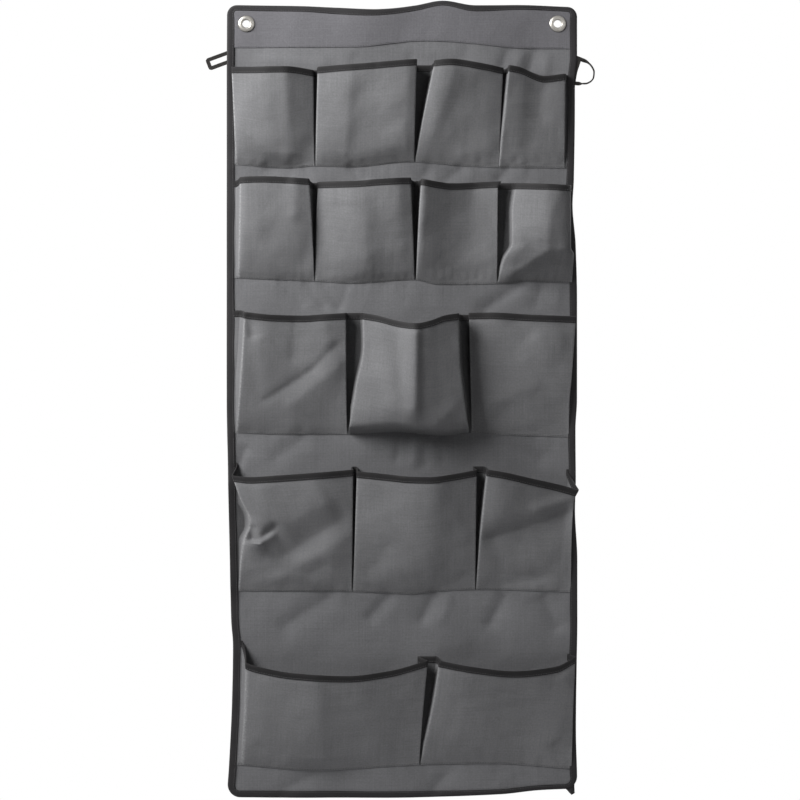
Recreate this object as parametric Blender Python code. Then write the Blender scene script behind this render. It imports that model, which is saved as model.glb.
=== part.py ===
"""A hanging pocket organizer of woven polyester, as it hangs from its two top grommets.

+X is to the viewer's right, -Y is the pocket side, +Z is up, in metres. The origin is on the back
of the panel, halfway between the two grommets. The panel is three lengths of cloth that fold back
on each other for storage, edged with binding tape, with five pleated pocket strips sewn on.
"""

import math
from collections import namedtuple

import bmesh
import bpy
from mathutils import Matrix, Vector

# Overall sizes
WIDTH = 0.438
TOP_ABOVE_GROMMETS = 0.0235
HEADER_HEIGHT = 0.0795
BOTTOM_BAND = 0.037
TOP_CORNER_RADIUS = 0.0125
BOTTOM_CORNER_RADIUS = 0.016

# Cloth, tape and the gap that touching pieces keep
CLOTH = 0.0010
TAPE = 0.0007
CLEARANCE = 0.0003
EDGE_BINDING = 0.0090
MOUTH_BINDING = 0.0080

# How far the top edge of the hanging cloth strays from a straight line, as (x, rise) pairs, and
# how far its right end hangs below its left end
TOP_WAVE = (
    (-0.128, -0.0015),
    (-0.035, -0.0060),
    (0.016, -0.0010),
    (0.051, 0.0050),
    (0.091, -0.0010),
)
TOP_RIGHT_DROP = 0.0020
TOP_STEPS = 20

# How far the bottom edge rises towards its right end
BOTTOM_WAVE = ((0.0, 0.0), (0.1225, 0.0035), (0.1725, 0.0090), (0.1975, 0.0100))
BOTTOM_STEPS = 16

# Steps round a corner, and the sine below which a bend counts as straight
CORNER_STEPS = 6
STRAIGHT = 1e-5

# The doubled strip of cloth across the header, and the grommets through it
FACING_HEIGHT = 0.0535
FACING_WAVE = ((-0.056, 0.0), (0.0225, 0.0060), (0.086, 0.0060), (0.150, 0.0))
GROMMET_FROM_EDGE = 0.0245
GROMMET_BORE_RADIUS = 0.0048
GROMMET_FLANGE_RADIUS = 0.0104
GROMMET_DOME = 0.0016
GROMMET_METAL = 0.0006
WASHER_RADIUS = 0.0096
WASHER_THICKNESS = 0.0008
ROLL_RADIUS = 0.0068
ROLL_ROUNDING = 0.6
GROMMET_SEGMENTS = 24
GROMMET_CUTTER = 0.0200
SMOOTH_BELOW = math.radians(40)

# The flange's dome, as (share of the way from bore to rim, share of its rise)
FLANGE_CROSS_SECTION = ((0.0, 0.55), (0.11, 0.95), (0.5, 1.0), (0.89, 0.6), (1.0, 0.0))

# The binding's spare end at the lower right corner: where it leaves the corner's arc, and the two
# corners of its tip from the middle of that arc
TAIL_ROOT = (math.radians(-90), math.radians(-30))
TAIL_TIP = ((0.0128, -0.0212), (0.0087, -0.0231))

# Side loops of narrow tape
LOOP_TAPE_WIDTH = 0.0048
LOOP_TAPE = 0.0012
LEFT_LOOP_REACH = 0.0250
LEFT_LOOP_GAP = 0.0056
LEFT_LOOP_DROP = math.radians(20)
LEFT_LOOP_BELOW_GROMMETS = 0.0425
RIGHT_LOOP_REACH = 0.0215
RIGHT_LOOP_HEIGHT = 0.0345
RIGHT_LOOP_BELOW_GROMMETS = 0.0575
RIGHT_LOOP_STEPS = 24
# How square the loop's outline is (1 is round), how much its weight bags it down, and the shares
# of its length from the root between which the tape turns edge-on
RIGHT_LOOP_SQUARENESS = 0.9
RIGHT_LOOP_DROOP = 0.12
RIGHT_LOOP_TURN = (0.05, 0.24)

# Folds: the panel turns back about a line just behind the edge binding
FOLD_BEHIND_BINDING = 0.0004

# Pocket strips. A pleat's land is the stretch sewn flat to the panel between two pockets.
PLEAT_LAND = 0.0050
LEAST_PLEAT = 0.0010
FRONT_STEPS = {4: 6, 3: 8, 2: 12}
PINCH_SPREAD = 0.22
CROWN_RISE = 0.6
FOLDS_END = 0.92
MOST_MITRE = 2.0
LEVELS = (0.0, 0.06, 0.16, 0.32, 0.48, 0.64, 0.82, 1.0)

# width: seam to seam; None takes what is left of the row
# depth: how far the front stands off at the mouth; crown: how much further its middle swells
# belly: 1 is a straight wedge, less is full right down to the seam
# left, right: how far the mouth's ends lie in from the seams, less than 0 where they lie over them
# rises: mouth heights at its left, middle and right, over the row's own mouth line
# pinch: the share of the height at which the left side is pushed in, and how far
# folds: ridges in the front, as (across, up, across, up) shares from end to end, width and height
Pocket = namedtuple("Pocket", "width depth crown belly left right rises pinch folds")
NO_PINCH = (0.5, 0.0)
Pocket.__new__.__defaults__ = (NO_PINCH, ())
Row = namedtuple("Row", "height band_below pockets")
ROWS = (
    Row(0.1205, 0.0195, (
        Pocket(0.101, 0.022, 0.005, 0.80, -0.0055, 0.000, (0.000, 0.000, -0.001), NO_PINCH, (
            (0.0, 0.45, 0.6, 0.05, 0.012, -0.0020),
        )),
        Pocket(0.125, 0.024, 0.007, 0.75, 0.000, -0.006, (-0.002, 0.002, 0.006)),
        Pocket(0.102, 0.024, 0.006, 0.80, 0.020, -0.009, (0.007, 0.004, -0.002)),
        Pocket(None, 0.020, 0.004, 0.90, 0.0095, 0.004, (-0.001, -0.010, -0.008)),
    )),
    Row(0.1250, 0.0400, (
        Pocket(0.101, 0.022, 0.005, 0.80, 0.005, 0.002, (0.003, 0.003, 0.001)),
        Pocket(0.125, 0.026, 0.007, 0.75, 0.000, 0.003, (-0.002, -0.003, 0.000)),
        Pocket(0.102, 0.024, 0.006, 0.80, 0.0045, -0.004, (0.000, -0.004, 0.000)),
        Pocket(None, 0.040, 0.016, 0.35, 0.016, 0.001, (-0.003, -0.004, -0.006), NO_PINCH, (
            (0.0, 0.10, 0.7, 0.32, 0.010, -0.0040),
        )),
    )),
    Row(0.1510, 0.0500, (
        Pocket(0.1425, 0.028, 0.006, 0.75, 0.010, -0.002, (0.001, -0.005, 0.000), NO_PINCH, (
            (0.25, 0.28, 0.9, 0.72, 0.012, 0.0030),
        )),
        Pocket(0.151, 0.044, 0.014, 0.35, 0.014, 0.009, (-0.002, -0.019, -0.004)),
        Pocket(None, 0.014, 0.004, 0.90, -0.003, -0.0080, (-0.001, -0.002, -0.001)),
    )),
    Row(0.1475, 0.0850, (
        Pocket(0.152, 0.028, 0.006, 0.70, -0.007, -0.0015, (-0.005, -0.002, 0.003), (0.52, 0.020), (
            (0.0, 0.50, 0.32, 0.42, 0.014, -0.0070),
            (0.12, 0.72, 0.6, 0.30, 0.014, 0.0035),
        )),
        Pocket(0.1495, 0.032, 0.008, 0.70, -0.0015, -0.005, (0.003, -0.002, 0.006)),
        Pocket(None, 0.022, 0.006, 0.85, 0.010, -0.0115, (0.006, -0.006, -0.018), NO_PINCH, (
            (0.1, 0.45, 0.95, 0.68, 0.012, 0.0040),
        )),
    )),
    Row(0.1350, None, (
        Pocket(0.234, 0.030, 0.010, 0.60, -0.005, -0.010, (0.024, -0.012, -0.002)),
        Pocket(None, 0.026, 0.009, 0.60, 0.018, -0.006, (-0.003, -0.010, 0.001)),
    )),
)
UPPER_ROWS, MIDDLE_ROWS, LOWER_ROWS = (0, 1), (2, 3), (4,)

# Places worked out from the sizes above
HALF_WIDTH = WIDTH / 2
GROMMET_X = HALF_WIDTH - GROMMET_FROM_EDGE
TOP_Z = TOP_ABOVE_GROMMETS
HALF_CLOTH = CLOTH / 2
CHANNEL = HALF_CLOTH + CLEARANCE
TAPE_OUTER = CHANNEL + TAPE
PANEL_FRONT_Y = -CLOTH
BINDING_BACK_Y = CLEARANCE + TAPE
BINDING_FRONT_Y = PANEL_FRONT_Y - CLEARANCE - TAPE
FACING_FRONT_Y = PANEL_FRONT_Y - CLEARANCE - CLOTH
FOLD_Y = BINDING_BACK_Y + FOLD_BEHIND_BINDING
STRIP_SEAT_Y = PANEL_FRONT_Y - CLEARANCE - HALF_CLOTH
STRIP_MOUTH_Y = PANEL_FRONT_Y - CLEARANCE - TAPE_OUTER


def row_places():
    """The mouth height and the seam height of each row, from the top down."""
    places = []
    mouth = TOP_Z - HEADER_HEIGHT
    for row in ROWS:
        seam = mouth - row.height
        places.append((mouth, seam))
        mouth = seam - (row.band_below or 0)
    return places


PLACES = row_places()
BOTTOM_Z = PLACES[-1][1] - BOTTOM_BAND
UPPER_FOLD_Z = (PLACES[UPPER_ROWS[-1]][1] + PLACES[MIDDLE_ROWS[0]][0]) / 2
LOWER_FOLD_Z = (PLACES[MIDDLE_ROWS[-1]][1] * 2 + PLACES[LOWER_ROWS[0]][0]) / 3

# How far each side edge is drawn in, at the height of a row's mouth or seam
LEFT_WAVE = (
    (PLACES[2][1], 0.0000),
    (PLACES[3][0], 0.0015),
    (PLACES[3][1], 0.0050),
    (PLACES[4][0], 0.0080),
    (PLACES[4][1], 0.0030),
    (BOTTOM_Z, 0.0000),
)
RIGHT_WAVE = (
    (PLACES[0][0], 0.0000),
    (PLACES[0][1], 0.0040),
    (PLACES[1][0], 0.0050),
    (PLACES[1][1], 0.0000),
    (PLACES[3][0], 0.0020),
    (PLACES[3][1], 0.0000),
    (PLACES[4][1], 0.0010),
    (BOTTOM_Z, 0.0000),
)


def between(points, place, ease=False):
    """The value at a place on straight runs, or on eased ones, from each of the points to the next."""
    points = sorted(points)
    if place <= points[0][0]:
        return points[0][1]
    for (start, low), (end, high) in zip(points, points[1:]):
        if place <= end:
            share = (place - start) / (end - start)
            if ease:
                share = share * share * (3 - 2 * share)
            return low + (high - low) * share
    return points[-1][1]


def left_edge(z):
    return -HALF_WIDTH + between(LEFT_WAVE, z)


def right_edge(z):
    return HALF_WIDTH - between(RIGHT_WAVE, z)


def top_edge(x):
    reach = HALF_WIDTH - TOP_CORNER_RADIUS
    return TOP_Z + between(TOP_WAVE + ((-reach, 0.0), (reach, -TOP_RIGHT_DROP)), x, ease=True)


def bottom_edge(x):
    return BOTTOM_Z + between(BOTTOM_WAVE, x, ease=True)


def lower_right_corner():
    """The middle of the lower right corner's arc."""
    z = bottom_edge(HALF_WIDTH) + BOTTOM_CORNER_RADIUS
    return right_edge(z) - BOTTOM_CORNER_RADIUS, z


def material(name, color, roughness, metallic=0.0):
    made = bpy.data.materials.new(name)
    made.use_nodes = True
    shader = made.node_tree.nodes["Principled BSDF"]
    shader.inputs["Base Color"].default_value = (*color, 1.0)
    shader.inputs["Roughness"].default_value = roughness
    shader.inputs["Metallic"].default_value = metallic
    return made


def grey_cloth(name):
    return material(name, (0.135, 0.135, 0.138), 0.75)


def black_tape(name):
    return material(name, (0.022, 0.021, 0.020), 0.65)


def nickel(name):
    return material(name, (0.72, 0.69, 0.62), 0.28, 1.0)


def object_from(name, builder, surface):
    """Makes a closed mesh object from a bmesh whose faces are turned outwards here."""
    bmesh.ops.recalc_face_normals(builder, faces=builder.faces)
    mesh = bpy.data.meshes.new(name)
    builder.to_mesh(mesh)
    builder.free()
    made = bpy.data.objects.new(name, mesh)
    bpy.context.scene.collection.objects.link(made)
    made.data.materials.append(surface)
    return made


def move_origin(made, place):
    """Puts an object's origin at a place and leaves its shape where it is."""
    for vertex in made.data.vertices:
        vertex.co -= Vector(place)
    made.location = place


def pivot_empty(name, place):
    made = bpy.data.objects.new(name, None)
    made.location = place
    bpy.context.scene.collection.objects.link(made)
    return made


def hang_on(pivot, pieces):
    for piece in pieces:
        move_origin(piece, pivot.location)
        piece.location = (0, 0, 0)
        piece.parent = pivot


def add_tube(builder, rings, closed_ends=()):
    """Joins closed rings of points into a tube. closed_ends are the quads that cap each end ring."""
    made = [[builder.verts.new(point) for point in ring] for ring in rings]
    count = len(rings[0])
    for first, second in zip(made, made[1:]):
        for i in range(count):
            j = (i + 1) % count
            builder.faces.new((first[i], first[j], second[j], second[i]))
    for ring in (made[0], made[-1]):
        for corners in closed_ends:
            builder.faces.new([ring[i] for i in corners])


U_CAPS = ((0, 1, 6, 7), (1, 2, 5, 6), (2, 3, 4, 5))


def inward_normals(path):
    """For each point of an (x, z) path, the mitred unit offset to the right of its direction."""
    normals = []
    for i, point in enumerate(path):
        before = Vector(point) - Vector(path[i - 1]) if i else None
        after = Vector(path[i + 1]) - Vector(point) if i + 1 < len(path) else None
        sides = [Vector((step.y, -step.x)).normalized() for step in (before, after) if step]
        mean = sum(sides, Vector((0, 0))).normalized()
        normals.append(mean / mean.dot(sides[0]))
    return normals


def offset_path(path, distance):
    return [tuple(Vector(p) + n * distance) for p, n in zip(path, inward_normals(path))]


def arc(center, radius, start, end):
    points = []
    for i in range(CORNER_STEPS + 1):
        turn = start + (end - start) * i / CORNER_STEPS
        points.append((center[0] + radius * math.cos(turn), center[1] + radius * math.sin(turn)))
    return points


def side_heights(low, high, wave):
    """The heights, from the lowest up, at which a side edge changes direction."""
    turns = sorted(z for z, _ in wave if low + EDGE_BINDING < z < high - EDGE_BINDING)
    return [low] + turns + [high]


def upper_path(low):
    """Up the left side, over the top and down the right side, as (x, z) points."""
    radius = TOP_CORNER_RADIUS
    corner_z = TOP_Z - radius
    left = [(left_edge(z), z) for z in side_heights(low, corner_z, LEFT_WAVE)][:-1]
    right = [(right_edge(z), z) for z in reversed(side_heights(low, corner_z, RIGHT_WAVE))][1:]
    reach = HALF_WIDTH - radius
    top = [-reach + 2 * reach * i / TOP_STEPS for i in range(1, TOP_STEPS)]
    return (
        left
        + arc((-reach, corner_z), radius, math.pi, math.pi / 2)
        + [(x, top_edge(x)) for x in top]
        + arc((reach, corner_z - TOP_RIGHT_DROP), radius, math.pi / 2, 0)
        + right
    )


def lower_path(high):
    """Down the right side, along the bottom and up the left side, as (x, z) points."""
    radius = BOTTOM_CORNER_RADIUS
    right_x, right_z = lower_right_corner()
    left_z = BOTTOM_Z + radius
    left_x = left_edge(left_z) + radius
    right = [(right_edge(z), z) for z in reversed(side_heights(right_z, high, RIGHT_WAVE))][:-1]
    left = [(left_edge(z), z) for z in side_heights(left_z, high, LEFT_WAVE)][1:]
    span = right_x - left_x
    bottom = [right_x - span * i / BOTTOM_STEPS for i in range(1, BOTTOM_STEPS)]
    return (
        right
        + arc((right_x, right_z), radius, 0, -math.pi / 2)
        + [(x, bottom_edge(x)) for x in bottom]
        + arc((left_x, left_z), radius, -math.pi / 2, -math.pi)
        + left
    )


def bends_only(outline):
    """The outline's points without those that lie on a straight stretch."""
    kept = []
    for i, point in enumerate(outline):
        before = Vector(point) - Vector(outline[i - 1])
        after = Vector(outline[(i + 1) % len(outline)]) - Vector(point)
        if abs(before.normalized().cross(after.normalized())) > STRAIGHT:
            kept.append(point)
    return kept


def flat_sheet(name, outline, back_y=0.0, thickness=CLOTH, surface=grey_cloth):
    """A flat sheet with its back at back_y, which is 0 for the panel."""
    outline = bends_only(outline)
    builder = bmesh.new()
    back = [builder.verts.new((x, back_y, z)) for x, z in outline]
    front = [builder.verts.new((x, back_y - thickness, z)) for x, z in outline]
    count = len(outline)
    builder.faces.new(back)
    builder.faces.new(front[::-1])
    for i in range(count):
        j = (i + 1) % count
        builder.faces.new((back[i], front[i], front[j], back[j]))
    bmesh.ops.triangulate(builder, faces=[f for f in builder.faces if len(f.verts) > 4])
    return object_from(name, builder, surface(name))


def edge_binding(name, path):
    """Tape folded over the panel's edge: a channel with one leg in front and one behind."""
    normals = inward_normals(path)
    inner_front_y = PANEL_FRONT_Y - CLEARANCE
    profile = (
        (EDGE_BINDING, BINDING_FRONT_Y),
        (0, BINDING_FRONT_Y),
        (0, BINDING_BACK_Y),
        (EDGE_BINDING, BINDING_BACK_Y),
        (EDGE_BINDING, CLEARANCE),
        (TAPE, CLEARANCE),
        (TAPE, inner_front_y),
        (EDGE_BINDING, inner_front_y),
    )
    rings = []
    for (x, z), normal in zip(path, normals):
        rings.append([(x + normal.x * s, y, z + normal.y * s) for s, y in profile])
    builder = bmesh.new()
    add_tube(builder, rings, U_CAPS)
    return object_from(name, builder, black_tape(name))


def cut(made, cutter):
    modifier = made.modifiers.new("cut", "BOOLEAN")
    modifier.operation = "DIFFERENCE"
    modifier.object = cutter
    cutter.hide_render = True
    cutter.display_type = "WIRE"


def grommet_cutter(name, x):
    """A round cutter through the header, a clearance wider than the eyelet's barrel."""
    builder = bmesh.new()
    radius = GROMMET_BORE_RADIUS + GROMMET_METAL + CLEARANCE
    bmesh.ops.create_cone(
        builder,
        cap_ends=True,
        segments=GROMMET_SEGMENTS,
        radius1=radius,
        radius2=radius,
        depth=GROMMET_CUTTER,
    )
    bmesh.ops.rotate(builder, verts=builder.verts, matrix=Matrix.Rotation(math.pi / 2, 3, "X"))
    bmesh.ops.translate(builder, verts=builder.verts, vec=(x, 0, 0))
    return object_from(name, builder, grey_cloth(name))


def turned(name, profile, x):
    """A metal ring turned about the line x, z = 0 along Y, from a closed (radius, y) profile."""
    builder = bmesh.new()
    rings = []
    for i in range(GROMMET_SEGMENTS + 1):
        turn = 2 * math.pi * (i % GROMMET_SEGMENTS) / GROMMET_SEGMENTS
        rings.append([(x + r * math.cos(turn), y, r * math.sin(turn)) for r, y in profile])
    add_tube(builder, rings)
    bmesh.ops.remove_doubles(builder, verts=builder.verts, dist=STRAIGHT)
    made = object_from(name, builder, nickel(name))
    made.data.shade_smooth()
    made.data.set_sharp_from_angle(angle=SMOOTH_BELOW)


def eyelet(name, x):
    """A domed flange in front, a barrel through the cloth, and the barrel's end rolled over."""
    bore = GROMMET_BORE_RADIUS
    barrel = bore + GROMMET_METAL
    flange_back = FACING_FRONT_Y - CLEARANCE
    roll_front = CLEARANCE + WASHER_THICKNESS + CLEARANCE
    rounded_end = roll_front + GROMMET_METAL * ROLL_ROUNDING
    profile = [
        (bore + (GROMMET_FLANGE_RADIUS - bore) * out, flange_back - GROMMET_DOME * rise)
        for out, rise in FLANGE_CROSS_SECTION
    ]
    profile += [
        (barrel, flange_back),
        (barrel, roll_front),
        (ROLL_RADIUS, roll_front),
        (ROLL_RADIUS, rounded_end),
        (barrel, roll_front + GROMMET_METAL),
        (bore, rounded_end),
    ]
    turned(name, profile, x)


def washer(name, x):
    inner = GROMMET_BORE_RADIUS + GROMMET_METAL + CLEARANCE
    profile = (
        (inner, CLEARANCE),
        (inner, CLEARANCE + WASHER_THICKNESS),
        (WASHER_RADIUS - WASHER_THICKNESS / 2, CLEARANCE + WASHER_THICKNESS),
        (WASHER_RADIUS, CLEARANCE),
    )
    turned(name, profile, x)


def through_three(rises, u):
    """The parabola through a pocket mouth's left, middle and right heights."""
    left, middle, right = rises
    return (
        left * (1 - u) * (1 - 2 * u) + middle * 4 * u * (1 - u) + right * u * (2 * u - 1)
    )


def pocket_bounds(index):
    """The seams on either side of each pocket of a row, at their own height z."""
    row = ROWS[index]
    inset = EDGE_BINDING + CLEARANCE
    steps = [0.0]
    for pocket in row.pockets[:-1]:
        steps.append(steps[-1] + pocket.width)

    def seams(z):
        places = [-HALF_WIDTH + EDGE_BINDING + step for step in steps]
        places[0] = left_edge(z) + inset
        return places + [right_edge(z) - inset]

    return seams


def strip_columns(index):
    """One entry for each line of points up a pocket strip: (pocket number, place, mouth rise).

    The place is "start" or "end" at the strip's own ends, "left" or "right" at a pleat's foot, or
    0 to 1 across the pocket's front.
    """
    pockets = ROWS[index].pockets
    steps = FRONT_STEPS[len(pockets)]
    columns = [(0, "start", pockets[0].rises[0])]
    for number, pocket in enumerate(pockets):
        before = pockets[number - 1].rises[2] if number else pocket.rises[0]
        after = pockets[number + 1].rises[0] if number + 1 < len(pockets) else pocket.rises[2]
        columns.append((number, "left", min(before, pocket.rises[0])))
        for i in range(steps + 1):
            columns.append((number, i / steps, through_three(pocket.rises, i / steps)))
        columns.append((number, "right", min(after, pocket.rises[2])))
    columns.append((len(pockets) - 1, "end", pockets[-1].rises[2]))
    return columns


def fold_height(row, pocket, span, across, share):
    """How far the pocket's own folds lift its front at a point, for a front of the given span."""
    lift = 0.0
    point = Vector((across * span, share * row.height))
    for from_across, from_up, to_across, to_up, width, height in pocket.folds:
        start = Vector((from_across * span, from_up * row.height))
        run = Vector((to_across * span, to_up * row.height)) - start
        along = max(0.0, min(1.0, (point - start).dot(run) / run.length_squared))
        away = (point - start - run * along).length
        lift += height * math.exp(-((away / width) ** 2))
    return lift


def strip_point(index, column, share, z):
    """A point of the strip's mid-surface; share runs from 0 at the seam to 1 at the mouth."""
    number, place, _ = column
    row = ROWS[index]
    pocket = row.pockets[number]
    seams = pocket_bounds(index)(z)
    seat = STRIP_SEAT_Y + (STRIP_MOUTH_Y - STRIP_SEAT_Y) * share
    left_foot = seams[number] + PLEAT_LAND / 2
    right_foot = seams[number + 1] - PLEAT_LAND / 2
    on_the_panel = {
        "start": seams[0],
        "left": left_foot,
        "right": right_foot,
        "end": seams[-1],
    }
    if place in on_the_panel:
        return Vector((on_the_panel[place], seat, z))
    between_seam_and_mouth = math.sin(math.pi * min(1.0, share / FOLDS_END))
    pinch_up, pinch_in = pocket.pinch
    pushed_in = pinch_in * math.exp(-(((share - pinch_up) / PINCH_SPREAD) ** 2))
    opened = share**pocket.belly
    left = left_foot + LEAST_PLEAT + pocket.left * opened + pushed_in * between_seam_and_mouth
    right = right_foot - LEAST_PLEAT - pocket.right * opened
    swell = pocket.crown * math.sin(math.pi * place) * share**CROWN_RISE
    depth = pocket.depth * opened
    lift = fold_height(row, pocket, right - left, place, share) * between_seam_and_mouth
    return Vector((left + (right - left) * place, seat - depth - swell - lift, z))


def strip_grid(index):
    """Rows of points from the seam up; the last two lie at the binding's lower edge and the mouth."""
    mouth, seam = PLACES[index]
    columns = strip_columns(index)
    grid = []
    for level in LEVELS:
        line = []
        for column in columns:
            top = mouth + column[2]
            z = seam + (top - MOUTH_BINDING - seam) * level
            line.append(strip_point(index, column, (z - seam) / (top - seam), z))
        grid.append(line)
    grid.append([strip_point(index, c, 1.0, mouth + c[2]) for c in columns])
    return grid


def grid_normals(grid):
    """Mitred normals towards the front: an offset by them keeps a wall's thickness at a pleat."""
    levels, count = len(grid), len(grid[0])

    def face_normal(j, i):
        a, b = grid[j][i], grid[j][i + 1]
        c, d = grid[j + 1][i + 1], grid[j + 1][i]
        return (c - a).cross(b - d).normalized()

    faces = [[face_normal(j, i) for i in range(count - 1)] for j in range(levels - 1)]
    normals = []
    for j in range(levels):
        beside = [faces[k] for k in (j - 1, j) if 0 <= k < levels - 1]
        line = []
        for i in range(count):
            sides = []
            for k in (i - 1, i):
                if 0 <= k < count - 1:
                    sides.append(sum((row[k] for row in beside), Vector()).normalized())
            mean = sum(sides, Vector()).normalized()
            line.append(mean / max(1 / MOST_MITRE, mean.dot(sides[0])))
        normals.append(line)
    if normals[0][0].y > 0:
        normals = [[-normal for normal in line] for line in normals]
    return normals


def pocket_strip(name, index):
    """The row's one strip of cloth: a pleat at each seam and a front for each pocket."""
    grid = strip_grid(index)
    normals = grid_normals(grid)
    levels, count = len(grid), len(grid[0])
    builder = bmesh.new()
    skins = []
    for side in (1, -1):
        skins.append([
            [builder.verts.new(p + n * HALF_CLOTH * side) for p, n in zip(points, ns)]
            for points, ns in zip(grid, normals)
        ])
    front, back = skins
    for j in range(levels - 1):
        for i in range(count - 1):
            for skin in skins:
                builder.faces.new((skin[j][i], skin[j][i + 1], skin[j + 1][i + 1], skin[j + 1][i]))
    for j in (0, levels - 1):
        for i in range(count - 1):
            builder.faces.new((front[j][i], front[j][i + 1], back[j][i + 1], back[j][i]))
    for i in (0, count - 1):
        for j in range(levels - 1):
            builder.faces.new((front[j][i], front[j + 1][i], back[j + 1][i], back[j][i]))
    return object_from(name, builder, grey_cloth(name))


def mouth_binding(name, index):
    """Tape folded over the strip's top edge, along its pockets and down into its pleats."""
    grid = strip_grid(index)
    normals = grid_normals(grid)
    rings = []
    for low, top, low_normal, top_normal in zip(grid[-2], grid[-1], normals[-2], normals[-1]):
        up = (top - low).normalized()
        ceiling = up * CLEARANCE
        crest = up * (CLEARANCE + TAPE)
        rings.append([
            low + low_normal * TAPE_OUTER,
            top + top_normal * TAPE_OUTER + crest,
            top - top_normal * TAPE_OUTER + crest,
            low - low_normal * TAPE_OUTER,
            low - low_normal * CHANNEL,
            top - top_normal * CHANNEL + ceiling,
            top + top_normal * CHANNEL + ceiling,
            low + low_normal * CHANNEL,
        ])
    builder = bmesh.new()
    add_tube(builder, rings, U_CAPS)
    return object_from(name, builder, black_tape(name))


def loop_from(name, path, lean, pivot_x):
    """Tape swept along a path in the panel's plane. lean is 1 where it lies flat in that plane."""
    normals = inward_normals(path)
    middle_y = PANEL_FRONT_Y / 2
    rings = []
    for (x, z), normal, flat in zip(path, normals, lean):
        turn = flat * math.pi / 2
        across = Vector((normal.x * math.sin(turn), math.cos(turn), normal.y * math.sin(turn)))
        through = Vector((normal.x * math.cos(turn), -math.sin(turn), normal.y * math.cos(turn)))
        center = Vector((x, middle_y, z))
        wide = across * LOOP_TAPE_WIDTH / 2
        thick = through * LOOP_TAPE / 2
        rings.append([center - wide - thick, center + wide - thick,
                      center + wide + thick, center - wide + thick])
    builder = bmesh.new()
    add_tube(builder, rings, ((0, 1, 2, 3),))
    made = object_from(name, builder, black_tape(name))
    move_origin(made, (pivot_x, middle_y, path[0][1]))
    return made


def left_loop():
    """A flat rectangular loop with mitred corners that droops to the left."""
    root_x = -HALF_WIDTH - CLEARANCE
    center_z = -LEFT_LOOP_BELOW_GROMMETS
    slope = math.tan(LEFT_LOOP_DROP)
    half = (LEFT_LOOP_GAP + LOOP_TAPE_WIDTH) / 2
    along = Vector((-math.cos(LEFT_LOOP_DROP), -math.sin(LEFT_LOOP_DROP)))
    across = Vector((-along.y, along.x))
    tip = Vector((root_x, center_z)) + along * (LEFT_LOOP_REACH - LOOP_TAPE_WIDTH / 2)
    corners = [tip - across * half, tip + across * half]
    path = []
    for corner in corners:
        rise = (root_x - corner.x) * slope
        path.append(((root_x, corner.y + rise), tuple(corner)))
    points = [path[0][0], path[0][1], path[1][1], path[1][0]]
    made = loop_from("left_loop", points, (1, 1, 1, 1), root_x - LOOP_TAPE / 2)
    return square_root_ends(made, root_x)


def square_root_ends(made, root_x):
    """Brings the four points of each end ring onto the line where the tape is sewn in."""
    vertices = list(made.data.vertices)
    for vertex in vertices[:4] + vertices[-4:]:
        vertex.co.x = root_x - made.location.x
    return made


def right_loop():
    """A rounded loop whose tape lies flat where it is sewn in and turns edge-on further out."""
    root_x = HALF_WIDTH + CLEARANCE
    top_z = -RIGHT_LOOP_BELOW_GROMMETS + RIGHT_LOOP_HEIGHT / 2
    width = LOOP_TAPE_WIDTH / 2
    height = RIGHT_LOOP_HEIGHT - LOOP_TAPE_WIDTH
    reach = RIGHT_LOOP_REACH - LOOP_TAPE / 2
    turn_start, turn_end = RIGHT_LOOP_TURN
    path, lean = [], []
    for i in range(RIGHT_LOOP_STEPS + 1):
        turn = math.pi * i / RIGHT_LOOP_STEPS
        drop = (1 - math.cos(turn)) / 2
        droop = RIGHT_LOOP_DROOP * math.sin(turn)
        path.append((
            root_x + reach * math.sin(turn) ** RIGHT_LOOP_SQUARENESS,
            top_z - width - height * min(1.0, drop + droop),
        ))
        from_root = min(i, RIGHT_LOOP_STEPS - i) / RIGHT_LOOP_STEPS
        lean.append(max(0.0, min(1.0, (turn_end - from_root) / (turn_end - turn_start))))
    made = loop_from("right_loop", path, lean, root_x + LOOP_TAPE / 2)
    return square_root_ends(made, root_x)


def facing(name, path):
    """The doubled strip across the header, inside the edge binding."""
    inset = EDGE_BINDING + CLEARANCE
    low = TOP_Z - FACING_HEIGHT
    left, right = left_edge(low) + inset, right_edge(low) - inset
    sides_and_top = [point for point in offset_path(path, inset) if point[1] > low]
    hem = []
    for i in range(TOP_STEPS + 1):
        x = right + (left - right) * i / TOP_STEPS
        hem.append((x, low + between(FACING_WAVE, x, ease=True)))
    return flat_sheet(name, sides_and_top + hem, PANEL_FRONT_Y - CLEARANCE)


def binding_tail(name):
    """The edge tape's spare end, doubled, that sticks out past the lower right corner."""
    x, z = lower_right_corner()
    root = arc((x, z), BOTTOM_CORNER_RADIUS + CLEARANCE, *TAIL_ROOT)
    tip = [(x + across, z + up) for across, up in TAIL_TIP]
    back_y = PANEL_FRONT_Y / 2 + TAPE
    return flat_sheet(name, root + tip, back_y, 2 * TAPE, black_tape)


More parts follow.
